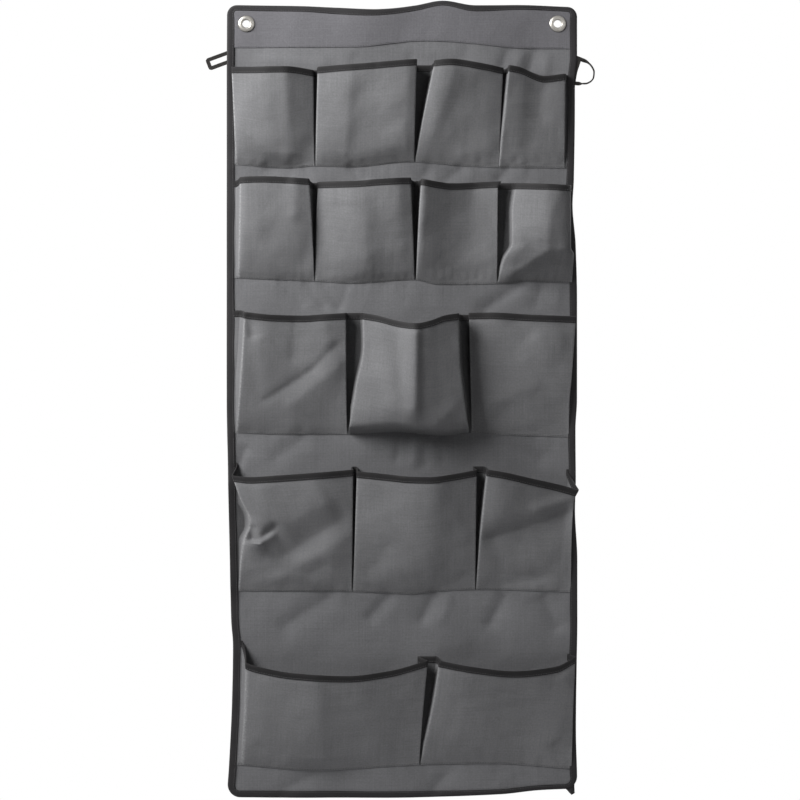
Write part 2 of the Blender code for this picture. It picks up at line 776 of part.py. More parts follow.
def build():
    for old in list(bpy.data.objects):
        bpy.data.objects.remove(old)

    half_gap = CLEARANCE / 2
    inset = TAPE + CLEARANCE
    upper = upper_path(UPPER_FOLD_Z + half_gap)
    lower = lower_path(LOWER_FOLD_Z - half_gap)
    folds = (LOWER_FOLD_Z + half_gap, UPPER_FOLD_Z - half_gap)
    left = [(left_edge(z), z) for z in side_heights(*folds, LEFT_WAVE)]
    right = [(right_edge(z), z) for z in reversed(side_heights(*folds, RIGHT_WAVE))]

    back_upper = flat_sheet("back_panel_upper", offset_path(upper, inset))
    header = facing("header_facing", upper)
    edge_binding("edge_binding_upper", upper)
    for side, x in (("left", -GROMMET_X), ("right", GROMMET_X)):
        cutter = grommet_cutter(f"cutter_{side}", x)
        cut(back_upper, cutter)
        cut(header, cutter)
        eyelet(f"grommet_eyelet_{side}", x)
        washer(f"grommet_washer_{side}", x)

    middle = [
        flat_sheet("back_panel_middle", offset_path(left, inset) + offset_path(right, inset)),
        edge_binding("edge_binding_middle_left", left),
        edge_binding("edge_binding_middle_right", right),
    ]
    bottom = [
        flat_sheet("back_panel_lower", offset_path(lower, inset)),
        edge_binding("edge_binding_lower", lower),
        binding_tail("binding_tail"),
    ]
    for index in range(len(ROWS)):
        pieces = [
            pocket_strip(f"pocket_strip_{index + 1}", index),
            mouth_binding(f"mouth_binding_{index + 1}", index),
        ]
        if index in MIDDLE_ROWS:
            middle += pieces
        elif index in LOWER_ROWS:
            bottom += pieces

    upper_fold = pivot_empty("upper_fold", (0, FOLD_Y, UPPER_FOLD_Z))
    hang_on(upper_fold, middle)
    lower_fold = pivot_empty("lower_fold", (0, FOLD_Y, LOWER_FOLD_Z))
    hang_on(lower_fold, bottom)
    lower_fold.location = lower_fold.location - upper_fold.location
    lower_fold.parent = upper_fold
    left_loop()
    right_loop()


build()
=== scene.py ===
"""The looks of a hanging pocket organizer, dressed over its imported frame.

Metres, in the frame's own axes: +X to the viewer's right, -Y out of the pocket side, +Z up, with
the origin on the back of the panel, halfway between the grommets. Places on the cloth are written
in millimetres.
"""

import math
from collections import namedtuple
from functools import partial

import bpy
import numpy as np
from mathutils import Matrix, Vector

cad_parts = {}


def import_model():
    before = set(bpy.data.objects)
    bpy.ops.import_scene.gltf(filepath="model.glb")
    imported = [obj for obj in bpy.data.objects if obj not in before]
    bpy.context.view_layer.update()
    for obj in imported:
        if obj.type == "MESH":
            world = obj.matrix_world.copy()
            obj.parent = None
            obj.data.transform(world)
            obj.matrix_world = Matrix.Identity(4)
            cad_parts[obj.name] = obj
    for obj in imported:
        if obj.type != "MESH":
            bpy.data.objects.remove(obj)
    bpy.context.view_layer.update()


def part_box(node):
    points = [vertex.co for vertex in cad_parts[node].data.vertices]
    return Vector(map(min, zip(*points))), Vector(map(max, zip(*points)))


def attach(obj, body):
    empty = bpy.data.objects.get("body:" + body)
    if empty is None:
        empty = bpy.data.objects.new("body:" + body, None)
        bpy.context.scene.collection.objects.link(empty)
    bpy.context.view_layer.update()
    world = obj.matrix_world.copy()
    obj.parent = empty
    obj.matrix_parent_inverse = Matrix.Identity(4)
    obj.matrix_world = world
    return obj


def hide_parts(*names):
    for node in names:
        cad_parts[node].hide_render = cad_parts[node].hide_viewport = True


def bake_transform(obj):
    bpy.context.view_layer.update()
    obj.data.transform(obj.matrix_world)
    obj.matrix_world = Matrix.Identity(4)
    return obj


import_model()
MM = 0.001

# Layers of cloth: the Y of their middle, and their thickness
PANEL_Y, PANEL_CLOTH = -0.0005, 0.0006
PANEL_BACK_Y = PANEL_Y + PANEL_CLOTH / 2
STRIP_Y, STRIP_CLOTH = -0.0013, 0.0006
FACING_Y, FACING_CLOTH = -0.0015, 0.0008
# Tape: its thickness, the Y of the edge tape's outer faces, and how far the mouth tape reaches
TAPE = 0.00045
EDGE_TAPE_FRONT_Y, EDGE_TAPE_BACK_Y = -0.0023, 0.0006
MOUTH_TAPE_WIDTH = 0.0076

# How far the panel bows towards the viewer over its half width, and the radius round the grommets
# and loops in which it is held flat
BOW, HALF_WIDTH = 0.005, 0.219
HELD_RADIUS = 0.034

# Spacing of the points of the cloth and of the tape, and the numbers of them that are fixed
PANEL_STEP, PANEL_COLUMNS = 0.0032, 135
FRONT_STEP = 0.0021
LEVEL_STEP = 0.0021
WALL_STEPS = 14
TAPE_STEP = 0.0028
EDGE_POINTS, CORNER_POINTS = 160, 13

# Places taken from the frame
SEAMS_Z = [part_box(f"pocket_strip_{n}")[0].z for n in range(1, 6)]
SPLIT_Z = SEAMS_Z[2]
BOTTOM_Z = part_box("edge_binding_lower")[0].z


def middle_of(node):
    low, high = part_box(node)
    return (low + high) / 2


GROMMETS = {side: middle_of(f"grommet_eyelet_{side}") for side in ("left", "right")}
HELD_PLACES = list(GROMMETS.values()) + [middle_of("left_loop"), middle_of("right_loop")]


def through(points, at, unit=MM):
    """A smooth curve through (place, value) points that never overshoots, level past its ends."""
    places, values = np.array(sorted(points), float).T * unit
    at = np.clip(np.asarray(at, float), places[0], places[-1])
    steps = np.diff(places)
    slopes = np.diff(values) / steps
    tangents = np.concatenate([slopes[:1], np.zeros(len(steps) - 1), slopes[-1:]])
    before, after = slopes[:-1], slopes[1:]
    same_way = before * after > 0
    both = np.where(same_way, before + after, 1.0)
    tangents[1:-1] = np.where(same_way, 2 * before * after / both, 0.0)
    i = np.clip(np.searchsorted(places, at) - 1, 0, len(steps) - 1)
    s = (at - places[i]) / steps[i]
    start = (1 + 2 * s) * (1 - s) ** 2 * values[i] + s * (1 - s) ** 2 * steps[i] * tangents[i]
    end = s * s * (3 - 2 * s) * values[i + 1] + s * s * (s - 1) * steps[i] * tangents[i + 1]
    return start + end


# The panel's side edges as (height, place), and its top and bottom edges as (place, height)
left_edge = partial(through, (
    (17, -218.8), (-95, -219.3), (-470, -219.3), (-557, -217.5), (-670, -215),
    (-745, -213.5), (-776, -211.3), (-845, -212.5), (-926, -216.3), (-950, -218),
))
right_edge = partial(through, (
    (17, 219), (-42, 219), (-75, 216.3), (-95, 216.3), (-195, 215), (-226, 213.4),
    (-276, 217.3), (-345, 219), (-470, 218.8), (-507, 216.9), (-570, 217.3), (-607, 216.3),
    (-670, 219.3), (-745, 219.3), (-795, 218.5), (-882, 217.5), (-939, 219),
))
top_edge = partial(through, (
    (-206, 23.6), (-127.5, 22), (-82, 19.6), (-35, 17.4), (-18, 18.2), (16, 22.4),
    (51, 28.4), (91, 22.8), (147, 23.4), (207, 21.4),
))
bottom_edge = partial(through, (
    (-200, -966.5), (-2, -966.3), (122, -962.6), (172, -957.6), (203, -956.2),
))
facing_hem = partial(through, (
    (-210, -29.5), (-56, -29.8), (-10, -25), (22, -22), (50, -22.4), (86, -25), (150, -30.6),
    (210, -31),
))

# The rounded corners' radii, and the heights of their centres
TOP_CORNER, BOTTOM_CORNER = 0.0125, 0.0160
TOP_LEFT_Z, TOP_RIGHT_Z = top_edge(-0.2065) - TOP_CORNER, top_edge(0.2065) - TOP_CORNER
LOW_LEFT_Z, LOW_RIGHT_Z = BOTTOM_Z + BOTTOM_CORNER, bottom_edge(0.203) + BOTTOM_CORNER

# How far the tape reaches over the cloth
TOP_TAPE_WIDTH = (
    (-206, 7.2), (-120, 7.4), (-60, 8.8), (0, 7.2), (51, 6.2), (95, 8), (160, 6), (207, 6.4),
)
BOTTOM_TAPE_WIDTH = ((-200, 8.8), (0, 8.2), (120, 6.6), (203, 6.2))
SIDE_TAPE_WIDTH = 9.4

# A crease: where it starts and ends, how far it falls away on each side of its direction, its
# height towards the viewer, less than 0 for a valley, and its power, which at 1 is a knife edge
Crease = namedtuple(
    "Crease", "start_x start_z end_x end_z left_width right_width height power", defaults=(1.6,))
PANEL_CREASES = (
    (132, -33, 122, -60, 9, 7, -1.7), (150, -36, 143, -62, 8, 8, 1.1), (166, -34, 158, -60, 8, 8, -1.5),
    (184, -38, 180, -64, 6, 7, 1.2), (86, -30, 70, -52, 12, 12, -1.4), (-176, -43, -96, -50, 7, 9, 1.6),
    (-60, -42, -30, -52, 8, 9, -1.3), (10, -41, 56, -50, 8, 9, -1.2), (36, -178, 22, -196, 10, 9, -1.6),
    (75, -180, 52, -198, 9, 8, -2.0), (-172, -180, -140, -196, 9, 8, -1.8),
    (-66, -180, -46, -196, 7, 7, -2.0), (134, -178, 120, -196, 8, 7, -1.8),
    (-152, -322, -124, -352, 7, 4, -1.3, 1.4), (-122, -324, -98, -354, 8, 3.5, -1.5, 1.4),
    (-100, -326, -78, -356, 8, 3.5, -1.4, 1.4), (-66, -326, -78, -356, 4, 9, -1.3, 1.4),
    (150, -324, 100, -360, 9, 11, -2.6), (176, -326, 166, -352, 8, 9, -1.5),
    (196, -326, 190, -354, 8, 8, 1.0), (-3, -514, -6, -546, 5, 6, -1.5),
    (16, -515, 14, -550, 5, 5, 1.4), (27, -514, 30, -552, 5, 5, -1.5), (44, -515, 52, -546, 6, 6, -1.2),
    (112, -518, 176, -546, 14, 10, -2.4), (-120, -516, -160, -544, 12, 12, -2.0),
    (-195, -530, -206, -556, 6, 7, -2.2), (-221, -572, -219, -705, 16, 10, 5.0, 1.8),
    (42, -712, 24, -748, 8, 9, -2.2), (62, -712, 50, -744, 7, 7, 1.4),
    (-14, -714, -42, -744, 10, 9, -2.4), (-88, -714, -150, -754, 14, 12, -2.8),
    (130, -714, 108, -752, 11, 9, -2.4), (176, -716, 196, -756, 10, 10, -2.0),
    (-106, -934, -152, -960, 10, 9, -2.0), (60, -934, 38, -957, 9, 8, -2.2),
    (150, -932, 120, -950, 9, 9, 0.9),
)

# left, right: the fold lines at the pocket's sides, as (height, place)
# mouth: its upper edge, as (place, height); section: how far the mouth stands off, as (share of
# the width, depth); profile: (share of the height, share of that depth); then its creases
Pocket = namedtuple("Pocket", "left right mouth section profile creases")
# body: what the row rides on; seams: the places of its inner seams; feet: the height of each
# pleat's top; wander: how its foot strays from the seam, as (place, rise)
Row = namedtuple("Row", "body seams feet wander pockets")
WEDGE = ((0, 0), (0.12, 0.20), (0.45, 0.58), (1, 1))
FULL = ((0, 0), (0.10, 0.24), (0.32, 0.60), (0.65, 0.89), (1, 1))


ROWS = []


def add_row(body, seams, feet, wander):
    ROWS.append(Row(body, seams, feet, wander, []))


def add_pocket(left, right, mouth, section, profile, *creases):
    """Adds a pocket to the last row."""
    ROWS[-1].pockets.append(Pocket(left, right, mouth, section, profile, creases))


add_row(
    "upper_section", (-109, 16, 118.5), (-56, -59, -53, -57.5, -64.5),
    ((-209, 1.2), (-140, -3.6), (-108, -1.2), (-62, -2.4), (10, 3.6), (80, -1.2), (135, -3),
     (209, -3.4)))
add_pocket(
    ((-56, -212.3), (-126, -209.4), (-176, -207.5)), ((-60, -110.4), (-120, -109.8), (-176, -109.2)),
    ((-212, -56), (-175, -57), (-140, -57), (-110, -60)),
    ((0, 17), (0.25, 24.5), (0.5, 28.5), (0.64, 28.5), (0.8, 21.5), (1, 11)), FULL,
    (-216, -124, -140, -174, 36, 13, 4.6, 1.3), (-190, -62, -186, -120, 14, 14, 0.6))
add_pocket(
    ((-57, -104.6), (-120, -106.5), (-176, -107.8)), ((-48, 18.5), (-110, 16.8), (-172, 15.2)),
    ((-105, -57.4), (-60, -54.6), (-20, -51.4), (18, -48)),
    ((0, 21), (0.22, 26), (0.4, 27.5), (0.7, 28), (0.9, 28), (1, 25)), FULL,
    (-62, -60, -70, -170, 7, 34, 2.4, 1.3), (6, -58, 2, -165, 14, 26, 0.8, 1.6),
    (-60, -172, 8, -150, 20, 16, 1.4))
add_pocket(
    ((-50, 40.6), (-110, 28.4), (-172, 17.2)), ((-57, 126.3), (-110, 123.6), (-178, 120.8)),
    ((40, -49.8), (62, -48.2), (95, -52), (126, -57)),
    ((0, 28), (0.15, 31), (0.5, 25.5), (0.8, 18), (1, 12)), WEDGE,
    (66, -60, 34, -150, 9, 20, 1.8, 1.4), (98, -66, 84, -160, 16, 18, -0.8),
    (58, -176, 110, -150, 16, 18, 0.8))
add_pocket(
    ((-56, 132.5), (-110, 127.4), (-178, 121.6)), ((-64, 203.4), (-178, 202.6)),
    ((132, -55.2), (146, -57.4), (162, -63.4), (176, -67.4), (203, -64)),
    ((0, 28), (0.2, 24.5), (0.5, 18.5), (0.8, 15), (1, 12)), WEDGE,
    (150, -66, 144, -150, 9, 14, 0.9), (176, -72, 170, -120, 12, 12, -1.8))
add_row(
    "upper_section", (-109, 16, 118.5), (-196.6, -199.6, -197.4, -199.6, -205),
    ((-209, 4), (-160, 1.8), (-110, 0), (-63, -3), (15, 1.5), (45, -4.4), (130, -3), (150, -0.6),
     (209, -2)))
add_pocket(
    ((-193, -201.2), (-250, -202.2), (-318, -204.2)), ((-196, -115.5), (-250, -111.8), (-320, -109.4)),
    ((-201, -193.4), (-175, -192.8), (-115, -195.8)),
    ((0, 19), (0.05, 23.5), (0.12, 25), (0.4, 26.5), (0.75, 25.5), (1, 21)), FULL,
    (-130, -198, -134, -242, 7, 10, 1.8, 1.4), (-170, -262, -122, -300, 16, 16, -1.2),
    (-184, -200, -178, -270, 10, 12, 0.9))
add_pocket(
    ((-199, -103.8), (-240, -106.6), (-320, -108.2)), ((-195, 10.6), (-260, 13.6), (-320, 15.6)),
    ((-104, -199.2), (-60, -199.4), (-35, -197.6), (10, -195)),
    ((0, 11), (0.2, 21.5), (0.42, 28), (0.6, 29.5), (0.84, 30.5), (1, 25)), FULL,
    (-48, -216, -41, -318, 13, 24, 2.6, 1.5), (-62, -197, -66, -226, 14, 24, 1.6, 1.5),
    (-107, -252, -72, -224, 16, 14, -1.0, 1.4), (-96, -262, -88, -312, 10, 12, -1.2))
add_pocket(
    ((-197, 23.8), (-250, 20.4), (-320, 17.6)), ((-198, 123.4), (-206, 119.4), (-320, 118.4)),
    ((24, -196.8), (44, -200), (60, -201.4), (95, -199.4), (123, -198.2)),
    ((0, 31), (0.04, 33.5), (0.1, 30.5), (0.45, 14), (0.7, 9), (0.86, 10.5), (1, 13.5)), FULL,
    (100, -210, 96, -300, 16, 16, 1.0))
add_pocket(
    ((-202, 141), (-238, 136.4), (-274, 136.8), (-290, 128), (-320, 119)),
    ((-205, 208.6), (-280, 209.4), (-288, 213.4), (-322, 212.8)),
    ((141, -201.8), (175, -203.8), (208, -205.4)),
    ((0, 29), (0.12, 34.5), (0.3, 40.5), (0.5, 45), (0.62, 46.5), (0.8, 46.5), (0.92, 45), (1, 42)),
    ((0, 0), (0.15, 0.33), (0.36, 0.78), (0.6, 0.95), (1, 1)),
    (176, -287, 130, -319, 12, 9, 4.2, 1.3), (214, -282, 180, -285, 14, 8, 3.0, 1.4),
    (140, -258, 152, -279, 6, 8, 1.8), (191, -204, 178, -276, 15, 22, 3.6, 1.5))
add_row(
    "middle_section", (-67.2, 83.8), (-358.6, -362, -364, -366),
    ((-209, 1.7), (-145, -0.6), (-58, 0), (-10, 2.5), (52, -2.3), (86, 1.6), (110, -0.6), (209, -3.8)))
add_pocket(
    ((-361, -195.3), (-428, -199.4), (-508, -206)), ((-362, -69.6), (-440, -69.4), (-511, -68.6)),
    ((-195, -361.4), (-160, -365), (-122, -365.8), (-100, -364.4), (-69, -362.4)),
    ((0, 29.5), (0.12, 30.5), (0.5, 24.5), (0.8, 21.5), (1, 16)), FULL,
    (-172, -471, -112, -432, 5, 13, -2.6, 1.2), (-112, -432, -80, -400, 5, 12, -2.4, 1.2),
    (-140, -478, -74, -424, 12, 14, 2.6, 1.5), (-133, -364, -136, -420, 14, 5, -1.6, 1.4),
    (-193, -365, -186, -392, 10, 4.5, -4.5, 1.5), (-190, -400, -178, -470, 10, 12, -1.6),
    (-98, -368, -90, -400, 8, 10, 1.4))
add_pocket(
    ((-363, -48.8), (-402, -48), (-450, -56.6), (-506, -66)),
    ((-364, 70), (-420, 71.8), (-462, 76), (-508, 83)),
    ((-49, -362.8), (-30, -366.4), (-6, -373), (17, -376.4), (36, -372.6), (52, -366.4), (70, -363.4)),
    ((0, 29), (0.2, 38.5), (0.38, 47), (0.54, 56), (0.64, 55.5), (0.8, 48.5), (1, 38.5)),
    ((0, 0), (0.03, 0.28), (0.06, 0.58), (0.085, 0.68), (0.11, 0.73), (0.25, 0.87), (0.5, 0.98),
     (0.72, 1.01), (1, 1)),
    (19, -372, 18, -486, 5, 30, 8.6, 1.15), (-28, -372, -8, -470, 9, 12, 1.6),
    (-6, -384, 4, -480, 7, 8, -1.6), (-44, -404, -22, -470, 9, 9, -1.6),
    (44, -500, 70, -470, 9, 9, 1.4))
add_pocket(
    ((-362, 83.2), (-440, 85), (-508, 87)),
    ((-366, 217.2), (-431, 212.4), (-476, 208.8), (-512, 208.6)),
    ((83, -362), (110, -361.8), (160, -364.4), (218, -366.4)),
    ((0, 12.5), (0.3, 16.5), (0.7, 15.5), (1, 12)), WEDGE,
    (104, -478, 166, -452, 14, 12, 1.6), (200, -392, 150, -420, 14, 14, 1.4),
    (140, -370, 160, -392, 12, 12, -1.4))
add_row(
    "middle_section", (-59.5, 91.8), (-549, -553.6, -553.4, -557),
    ((-209, 1.6), (-60, 0.8), (14, -2.4), (42, 0.8), (93, 3.2), (209, 0)))
add_pocket(
    ((-563, -211.6), (-592, -201.4), (-619, -189.6), (-627, -189.4), (-645, -196.6), (-671, -201),
     (-706, -203.8)), ((-557, -60.4), (-640, -61.6), (-709, -63)),
    ((-211, -564), (-190, -566), (-150, -563.6), (-100, -560), (-60, -556.8)),
    ((0, 21), (0.1, 28), (0.2, 31), (0.45, 31), (0.75, 32), (1, 24)), WEDGE,
    (-208, -578, -177, -645, 12, 2.4, 5.5, 1.2), (-187, -628, -187, -644, 4.5, 3.5, -10.0, 1.6),
    (-198, -648, -176, -648, 2.0, 12, 6.5, 1.2), (-177, -648, -161, -637, 2.2, 9, 5.5, 1.2),
    (-172, -640, -158, -626, 5, 4, -4.5, 1.4), (-148, -628, -92, -594, 45, 22, 5.4, 1.6),
    (-146, -662, -74, -616, 22, 16, -5.5, 1.5), (-166, -700, -56, -634, 12, 24, 2.4, 1.5),
    (-176, -574, -164, -626, 22, 12, 2.4), (-116, -690, -96, -672, 12, 12, -2.0))
add_pocket(
    ((-559, -56), (-640, -58.6), (-709, -61)), ((-557, 93), (-708, 91.2)),
    ((-56, -558.8), (-15, -562.8), (8, -565.2), (35, -565.8), (60, -562.8), (93, -557.2)),
    ((0, 24), (0.3, 32), (0.5, 36), (0.64, 37), (0.82, 31.5), (1, 23)), WEDGE,
    (32, -566, 34, -690, 34, 30, 2.6, 1.5), (-46, -690, -14, -650, 16, 14, -1.8),
    (60, -604, 84, -640, 10, 10, 1.0), (56, -704, 80, -690, 8, 10, -2.0))
add_pocket(
    ((-556, 105.2), (-612, 99.6), (-668, 95), (-708, 92.6)),
    ((-583, 220.6), (-596, 214.6), (-660, 211.4), (-709, 211)),
    ((105, -556.4), (125, -559.6), (165, -568.8), (195, -575.6), (221, -583)),
    ((0, 34), (0.12, 34), (0.5, 23.5), (0.85, 12.5), (1, 9.5)), WEDGE,
    (108, -641, 216, -606, 9, 34, -7.5, 1.2), (166, -606, 214, -592, 7, 9, 2.6),
    (112, -702, 176, -694, 11, 7, -2.6))
add_row(
    "lower_section", (22.5,), (-771, -790.4, -787.5),
    ((-205, 4.5), (-100, -2.4), (-16, 2.6), (21, 4.3), (109, 6), (209, -0.5)))
add_pocket(
    ((-797, -193.6), (-845, -195.2), (-925, -199.4)), ((-794, 32.4), (-860, 26.4), (-926, 21.4)),
    ((-194, -796.2), (-180, -800.4), (-133, -808), (-66, -811.4), (-15, -805.8), (32, -793.6)),
    ((0, 27), (0.15, 33), (0.36, 38), (0.6, 34.5), (0.8, 28.5), (1, 20)), WEDGE,
    (-106, -806, -98, -932, 14, 45, 3.8, 1.4), (-180, -900, -150, -918, 12, 12, -1.4),
    (-30, -820, -34, -915, 26, 26, 1.0))
add_pocket(
    ((-793, 46.4), (-842, 39.6), (-926, 23.4)), ((-790, 216.2), (-845, 213.8), (-928, 212)),
    ((46, -793), (92, -801.4), (142, -806.4), (192, -801.4), (216, -789.6)),
    ((0, 30), (0.12, 33.5), (0.28, 34.5), (0.5, 31), (0.75, 24), (1, 15)), WEDGE,
    (82, -806, 66, -900, 16, 20, 1.6), (204, -812, 216, -842, 8, 10, 2.2),
    (190, -900, 206, -915, 12, 10, -1.6))
PLEAT_LAND = 0.0046
LAND_SHARES = (0.0, 0.33, 0.67, 1.0)
WALL_REACH, OUTER_WALL_REACH = 0.0035, 0.0070
WALL_BULGE = 0.06
STRIP_SMOOTHINGS = 3
SEWN_UNDER = 0.0030

# Thread
STITCH_PITCH, STITCH_LENGTH = 0.0032, 0.0026
THREAD_RADIUS = 0.00024
ABOVE_FOOT, ABOVE_HEM, BELOW_MOUTH = 1.6 * MM, 1.4 * MM, (5.2, 5.9, 6.4)


def joined(*values):
    """Numbers and arrays side by side, as the coordinates of points."""
    return np.stack(np.broadcast_arrays(*values), axis=-1)


def shares(count):
    return np.linspace(0, 1, count)


def bell(away):
    return np.exp(-(away**2))


def unit(vectors):
    return vectors / np.maximum(np.linalg.norm(vectors, axis=-1, keepdims=True), 1e-12)


def lengths_along(points, axis=0):
    """How far each point lies from the first, along the line that they make."""
    steps = np.linalg.norm(np.diff(points, axis=axis), axis=-1)
    return np.cumsum(np.insert(steps, 0, 0.0, axis=axis), axis=axis)


def interpolated(at, places, points):
    """Points between those of a line, by their places along it."""
    return joined(*(np.interp(at, places, values) for values in points.T))


def resampled(line, step):
    """The same polyline with its points evenly spaced, about a step apart."""
    along = lengths_along(line)
    return interpolated(np.linspace(0, along[-1], max(2, round(along[-1] / step) + 1)), along, line)


def waves(x, z, seed, size, height):
    """Smooth irregular unevenness: eight plane waves about one size long, in all directions."""
    random = np.random.default_rng(seed)
    total = np.zeros(np.broadcast(x, z).shape)
    for _ in range(8):
        turn, start = random.uniform(0, 2 * np.pi, 2)
        length = size * random.uniform(0.7, 1.5)
        total += np.sin((x * np.cos(turn) + z * np.sin(turn)) * 2 * np.pi / length + start)
    return total * height / 3


def lift_of(creases, x, z):
    """How far creases bring the cloth towards the viewer at each place."""
    total = np.zeros(np.broadcast(x, z).shape)
    for numbers in creases:
        start_x, start_z, end_x, end_z, left_width, right_width, height, power = Crease(*numbers)
        start = np.array((start_x, start_z)) * MM
        run = np.array((end_x, end_z)) * MM - start
        length = np.hypot(*run)
        across = ((x - start[0]) * run[1] - (z - start[1]) * run[0]) / length
        along = ((x - start[0]) * run[0] + (z - start[1]) * run[1]) / length**2
        width = np.where(across > 0, right_width, left_width) * MM
        beyond = np.maximum(0, np.abs(along - 0.5) - 0.42) * length
        taper = bell(beyond / (0.12 * length + 2 * MM))
        total += height * MM * taper * np.exp(-((np.abs(across) / width) ** power))
    return total


def puckers(x, z):
    """The small gathers that sewing draws into the cloth on both sides of each seam."""
    total = np.zeros(np.broadcast(x, z).shape)
    for number, seam in enumerate(SEAMS_Z):
        away = np.abs(z - seam)
        near = np.exp(-away / 0.011) * (1 - bell(away / 0.0025))
        total += near * waves(x, z * 0.25, 40 + number, 0.013, 0.0004)
    return total


def relief(x, z):
    """How far the hanging cloth strays from its plane, towards the viewer."""
    x, z = np.asarray(x, float), np.asarray(z, float)
    bow = BOW * (1 - (x / HALF_WIDTH) ** 2)
    slow = bow + waves(x, z * 0.7, 3, 0.34, 0.0011) + waves(x, z, 4, 0.11, 0.0011)
    small = waves(x, z, 5, 0.035, 0.00012)
    held = np.ones(np.broadcast(x, z).shape)
    for place in HELD_PLACES:
        held *= 1 - bell(np.hypot(x - place.x, z - place.z) / HELD_RADIUS)
    return (slow + small + lift_of(PANEL_CREASES, x, z) + puckers(x, z)) * held


def toward_viewer(points):
    """Moves flat-panel points by the cloth's relief."""
    points = points.copy()
    points[..., 1] -= relief(points[..., 0], points[..., 2])
    return points


# Mesh building

def quads(index):
    """The faces between the neighbours in a grid of point numbers."""
    corners = (index[:-1, :-1], index[:-1, 1:], index[1:, 1:], index[1:, :-1])
    return np.stack(corners, axis=-1).reshape(-1, 4)


def grid_normals(grid):
    """Unit normals of a grid of points, towards the viewer where the grid faces them."""
    return unit(np.cross(np.gradient(grid, axis=1), np.gradient(grid, axis=0)))


def piece_from(name, points, faces, surface, cloth, wear_and_painted_light=0.0):
    """A smooth-shaded mesh piece; cloth holds each point's place along and across its material."""
    points, cloth = points.reshape(-1, 3), cloth.reshape(-1, 2)
    mesh = bpy.data.meshes.new(name)
    mesh.from_pydata(points.tolist(), [], faces.tolist())
    place = mesh.attributes.new("cloth", "FLOAT_VECTOR", "POINT")
    place.data.foreach_set("vector", np.pad(cloth, ((0, 0), (0, 1))).ravel())
    # Above 0 the point is paler, from wear and at the outermost left fold a painted highlight; below 0 it
    # carries painted shade
    wear_and_shade = mesh.attributes.new("wear_and_painted_light", "FLOAT", "POINT")
    wear_and_shade.data.foreach_set("value", np.ravel(wear_and_painted_light) * np.ones(len(points)))
    mesh.materials.append(surface)
    mesh.shade_smooth()
    mesh.set_sharp_from_angle(angle=math.radians(50))
    piece = bpy.data.objects.new(name, mesh)
    bpy.context.scene.collection.objects.link(piece)
    return piece


def sheet_piece(name, grid, thickness, surface, cloth, wear_and_painted_light=0.0, keep=None):
    """A sheet of cloth: two skins about a grid of points, closed round its rim."""
    rows, columns = grid.shape[:2]
    count = rows * columns
    half = grid_normals(grid) * thickness / 2
    front = quads(np.arange(count).reshape(rows, columns))
    if keep is not None:
        front = front[keep.reshape(-1)]
    edges = np.sort(np.concatenate([front[:, [i, (i + 1) % 4]] for i in range(4)]), axis=1)
    pairs, times = np.unique(edges, axis=0, return_counts=True)
    rim = pairs[times == 1]
    ordered = {tuple(e) for q in front[:, [0, 1, 2, 3, 0]] for e in zip(q[:-1], q[1:])}
    first, second = np.array([(a, b) if (a, b) in ordered else (b, a) for a, b in rim.tolist()]).T
    walls = joined(second, first, first + count, second + count)
    faces = np.concatenate([front, front[:, ::-1] + count, walls])
    points = np.stack([grid + half, grid - half])
    wear_and_painted_light = np.broadcast_to(wear_and_painted_light, (2, rows, columns))
    return piece_from(name, points, faces, surface, np.stack([cloth, cloth]), wear_and_painted_light)


def swept(name, rings, surface, cloth, wear_and_painted_light=0.0, closed=False):
    """A tube through closed rings of points, capped at its ends unless it closes on itself."""
    count, sides = rings.shape[:2]
    index = np.arange(count * sides).reshape(count, sides)
    faces = [quads(np.pad(index, ((0, int(closed)), (0, 1)), mode="wrap"))]
    if not closed:
        half = sides // 2
        for ring, turn in ((index[0], 1), (index[-1], -1)):
            faces.append(quads(joined(ring[:half], ring[::-1][:half]))[:, ::turn])
    return piece_from(name, rings, np.concatenate(faces), surface, cloth, wear_and_painted_light)


# Thread

STITCH_SIDES, STITCH_RINGS = 6, 5
UNSEWN_END = 0.002
stitches = {"thread_upper": [], "thread_lower": []}


def row_of_stitches(line, normals):
    """Stitches along a line that lies on a surface with these normals."""
    along = lengths_along(line)
    starts = np.arange(UNSEWN_END, along[-1] - STITCH_LENGTH - UNSEWN_END, STITCH_PITCH)
    share = shares(STITCH_RINGS)
    places = starts[:, None] + share * STITCH_LENGTH
    center = interpolated(places, along, line)
    normal = unit(interpolated(places, along, normals))
    side = unit(np.cross(np.gradient(center, axis=1), normal))
    arch = np.sin(np.pi * share)[:, None]
    radius = THREAD_RADIUS * (0.35 + 0.65 * arch**0.5)
    center = center + normal * (arch * 1.1 - 0.7) * THREAD_RADIUS
    turns = np.arange(STITCH_SIDES) * 2 * np.pi / STITCH_SIDES
    spokes = [center + (normal * np.cos(t) + side * np.sin(t)) * radius for t in turns]
    return np.stack(spokes, axis=2), joined(places[..., None], turns * THREAD_RADIUS)


def sew(line, normals):
    """Sews along a line with the thread of the part of the panel that each stretch belongs to."""
    upper = line[:, 2] >= SPLIT_Z
    cuts = np.flatnonzero(np.diff(upper.astype(int))) + 1
    normals = np.broadcast_to(normals, line.shape)
    for part, facing in zip(np.split(line, cuts), np.split(normals, cuts)):
        if len(part) > 1:
            thread = "thread_upper" if part[0, 2] >= SPLIT_Z else "thread_lower"
            stitches[thread].append(row_of_stitches(part, facing))


def sew_through(x, z, front_y, back_y):
    """Stitches along one line of the hanging cloth, on its front and on its back."""
    for y, facing_y in ((front_y, -1), (back_y, 1)):
        sew(toward_viewer(joined(x, y, z)), (0, facing_y, 0))


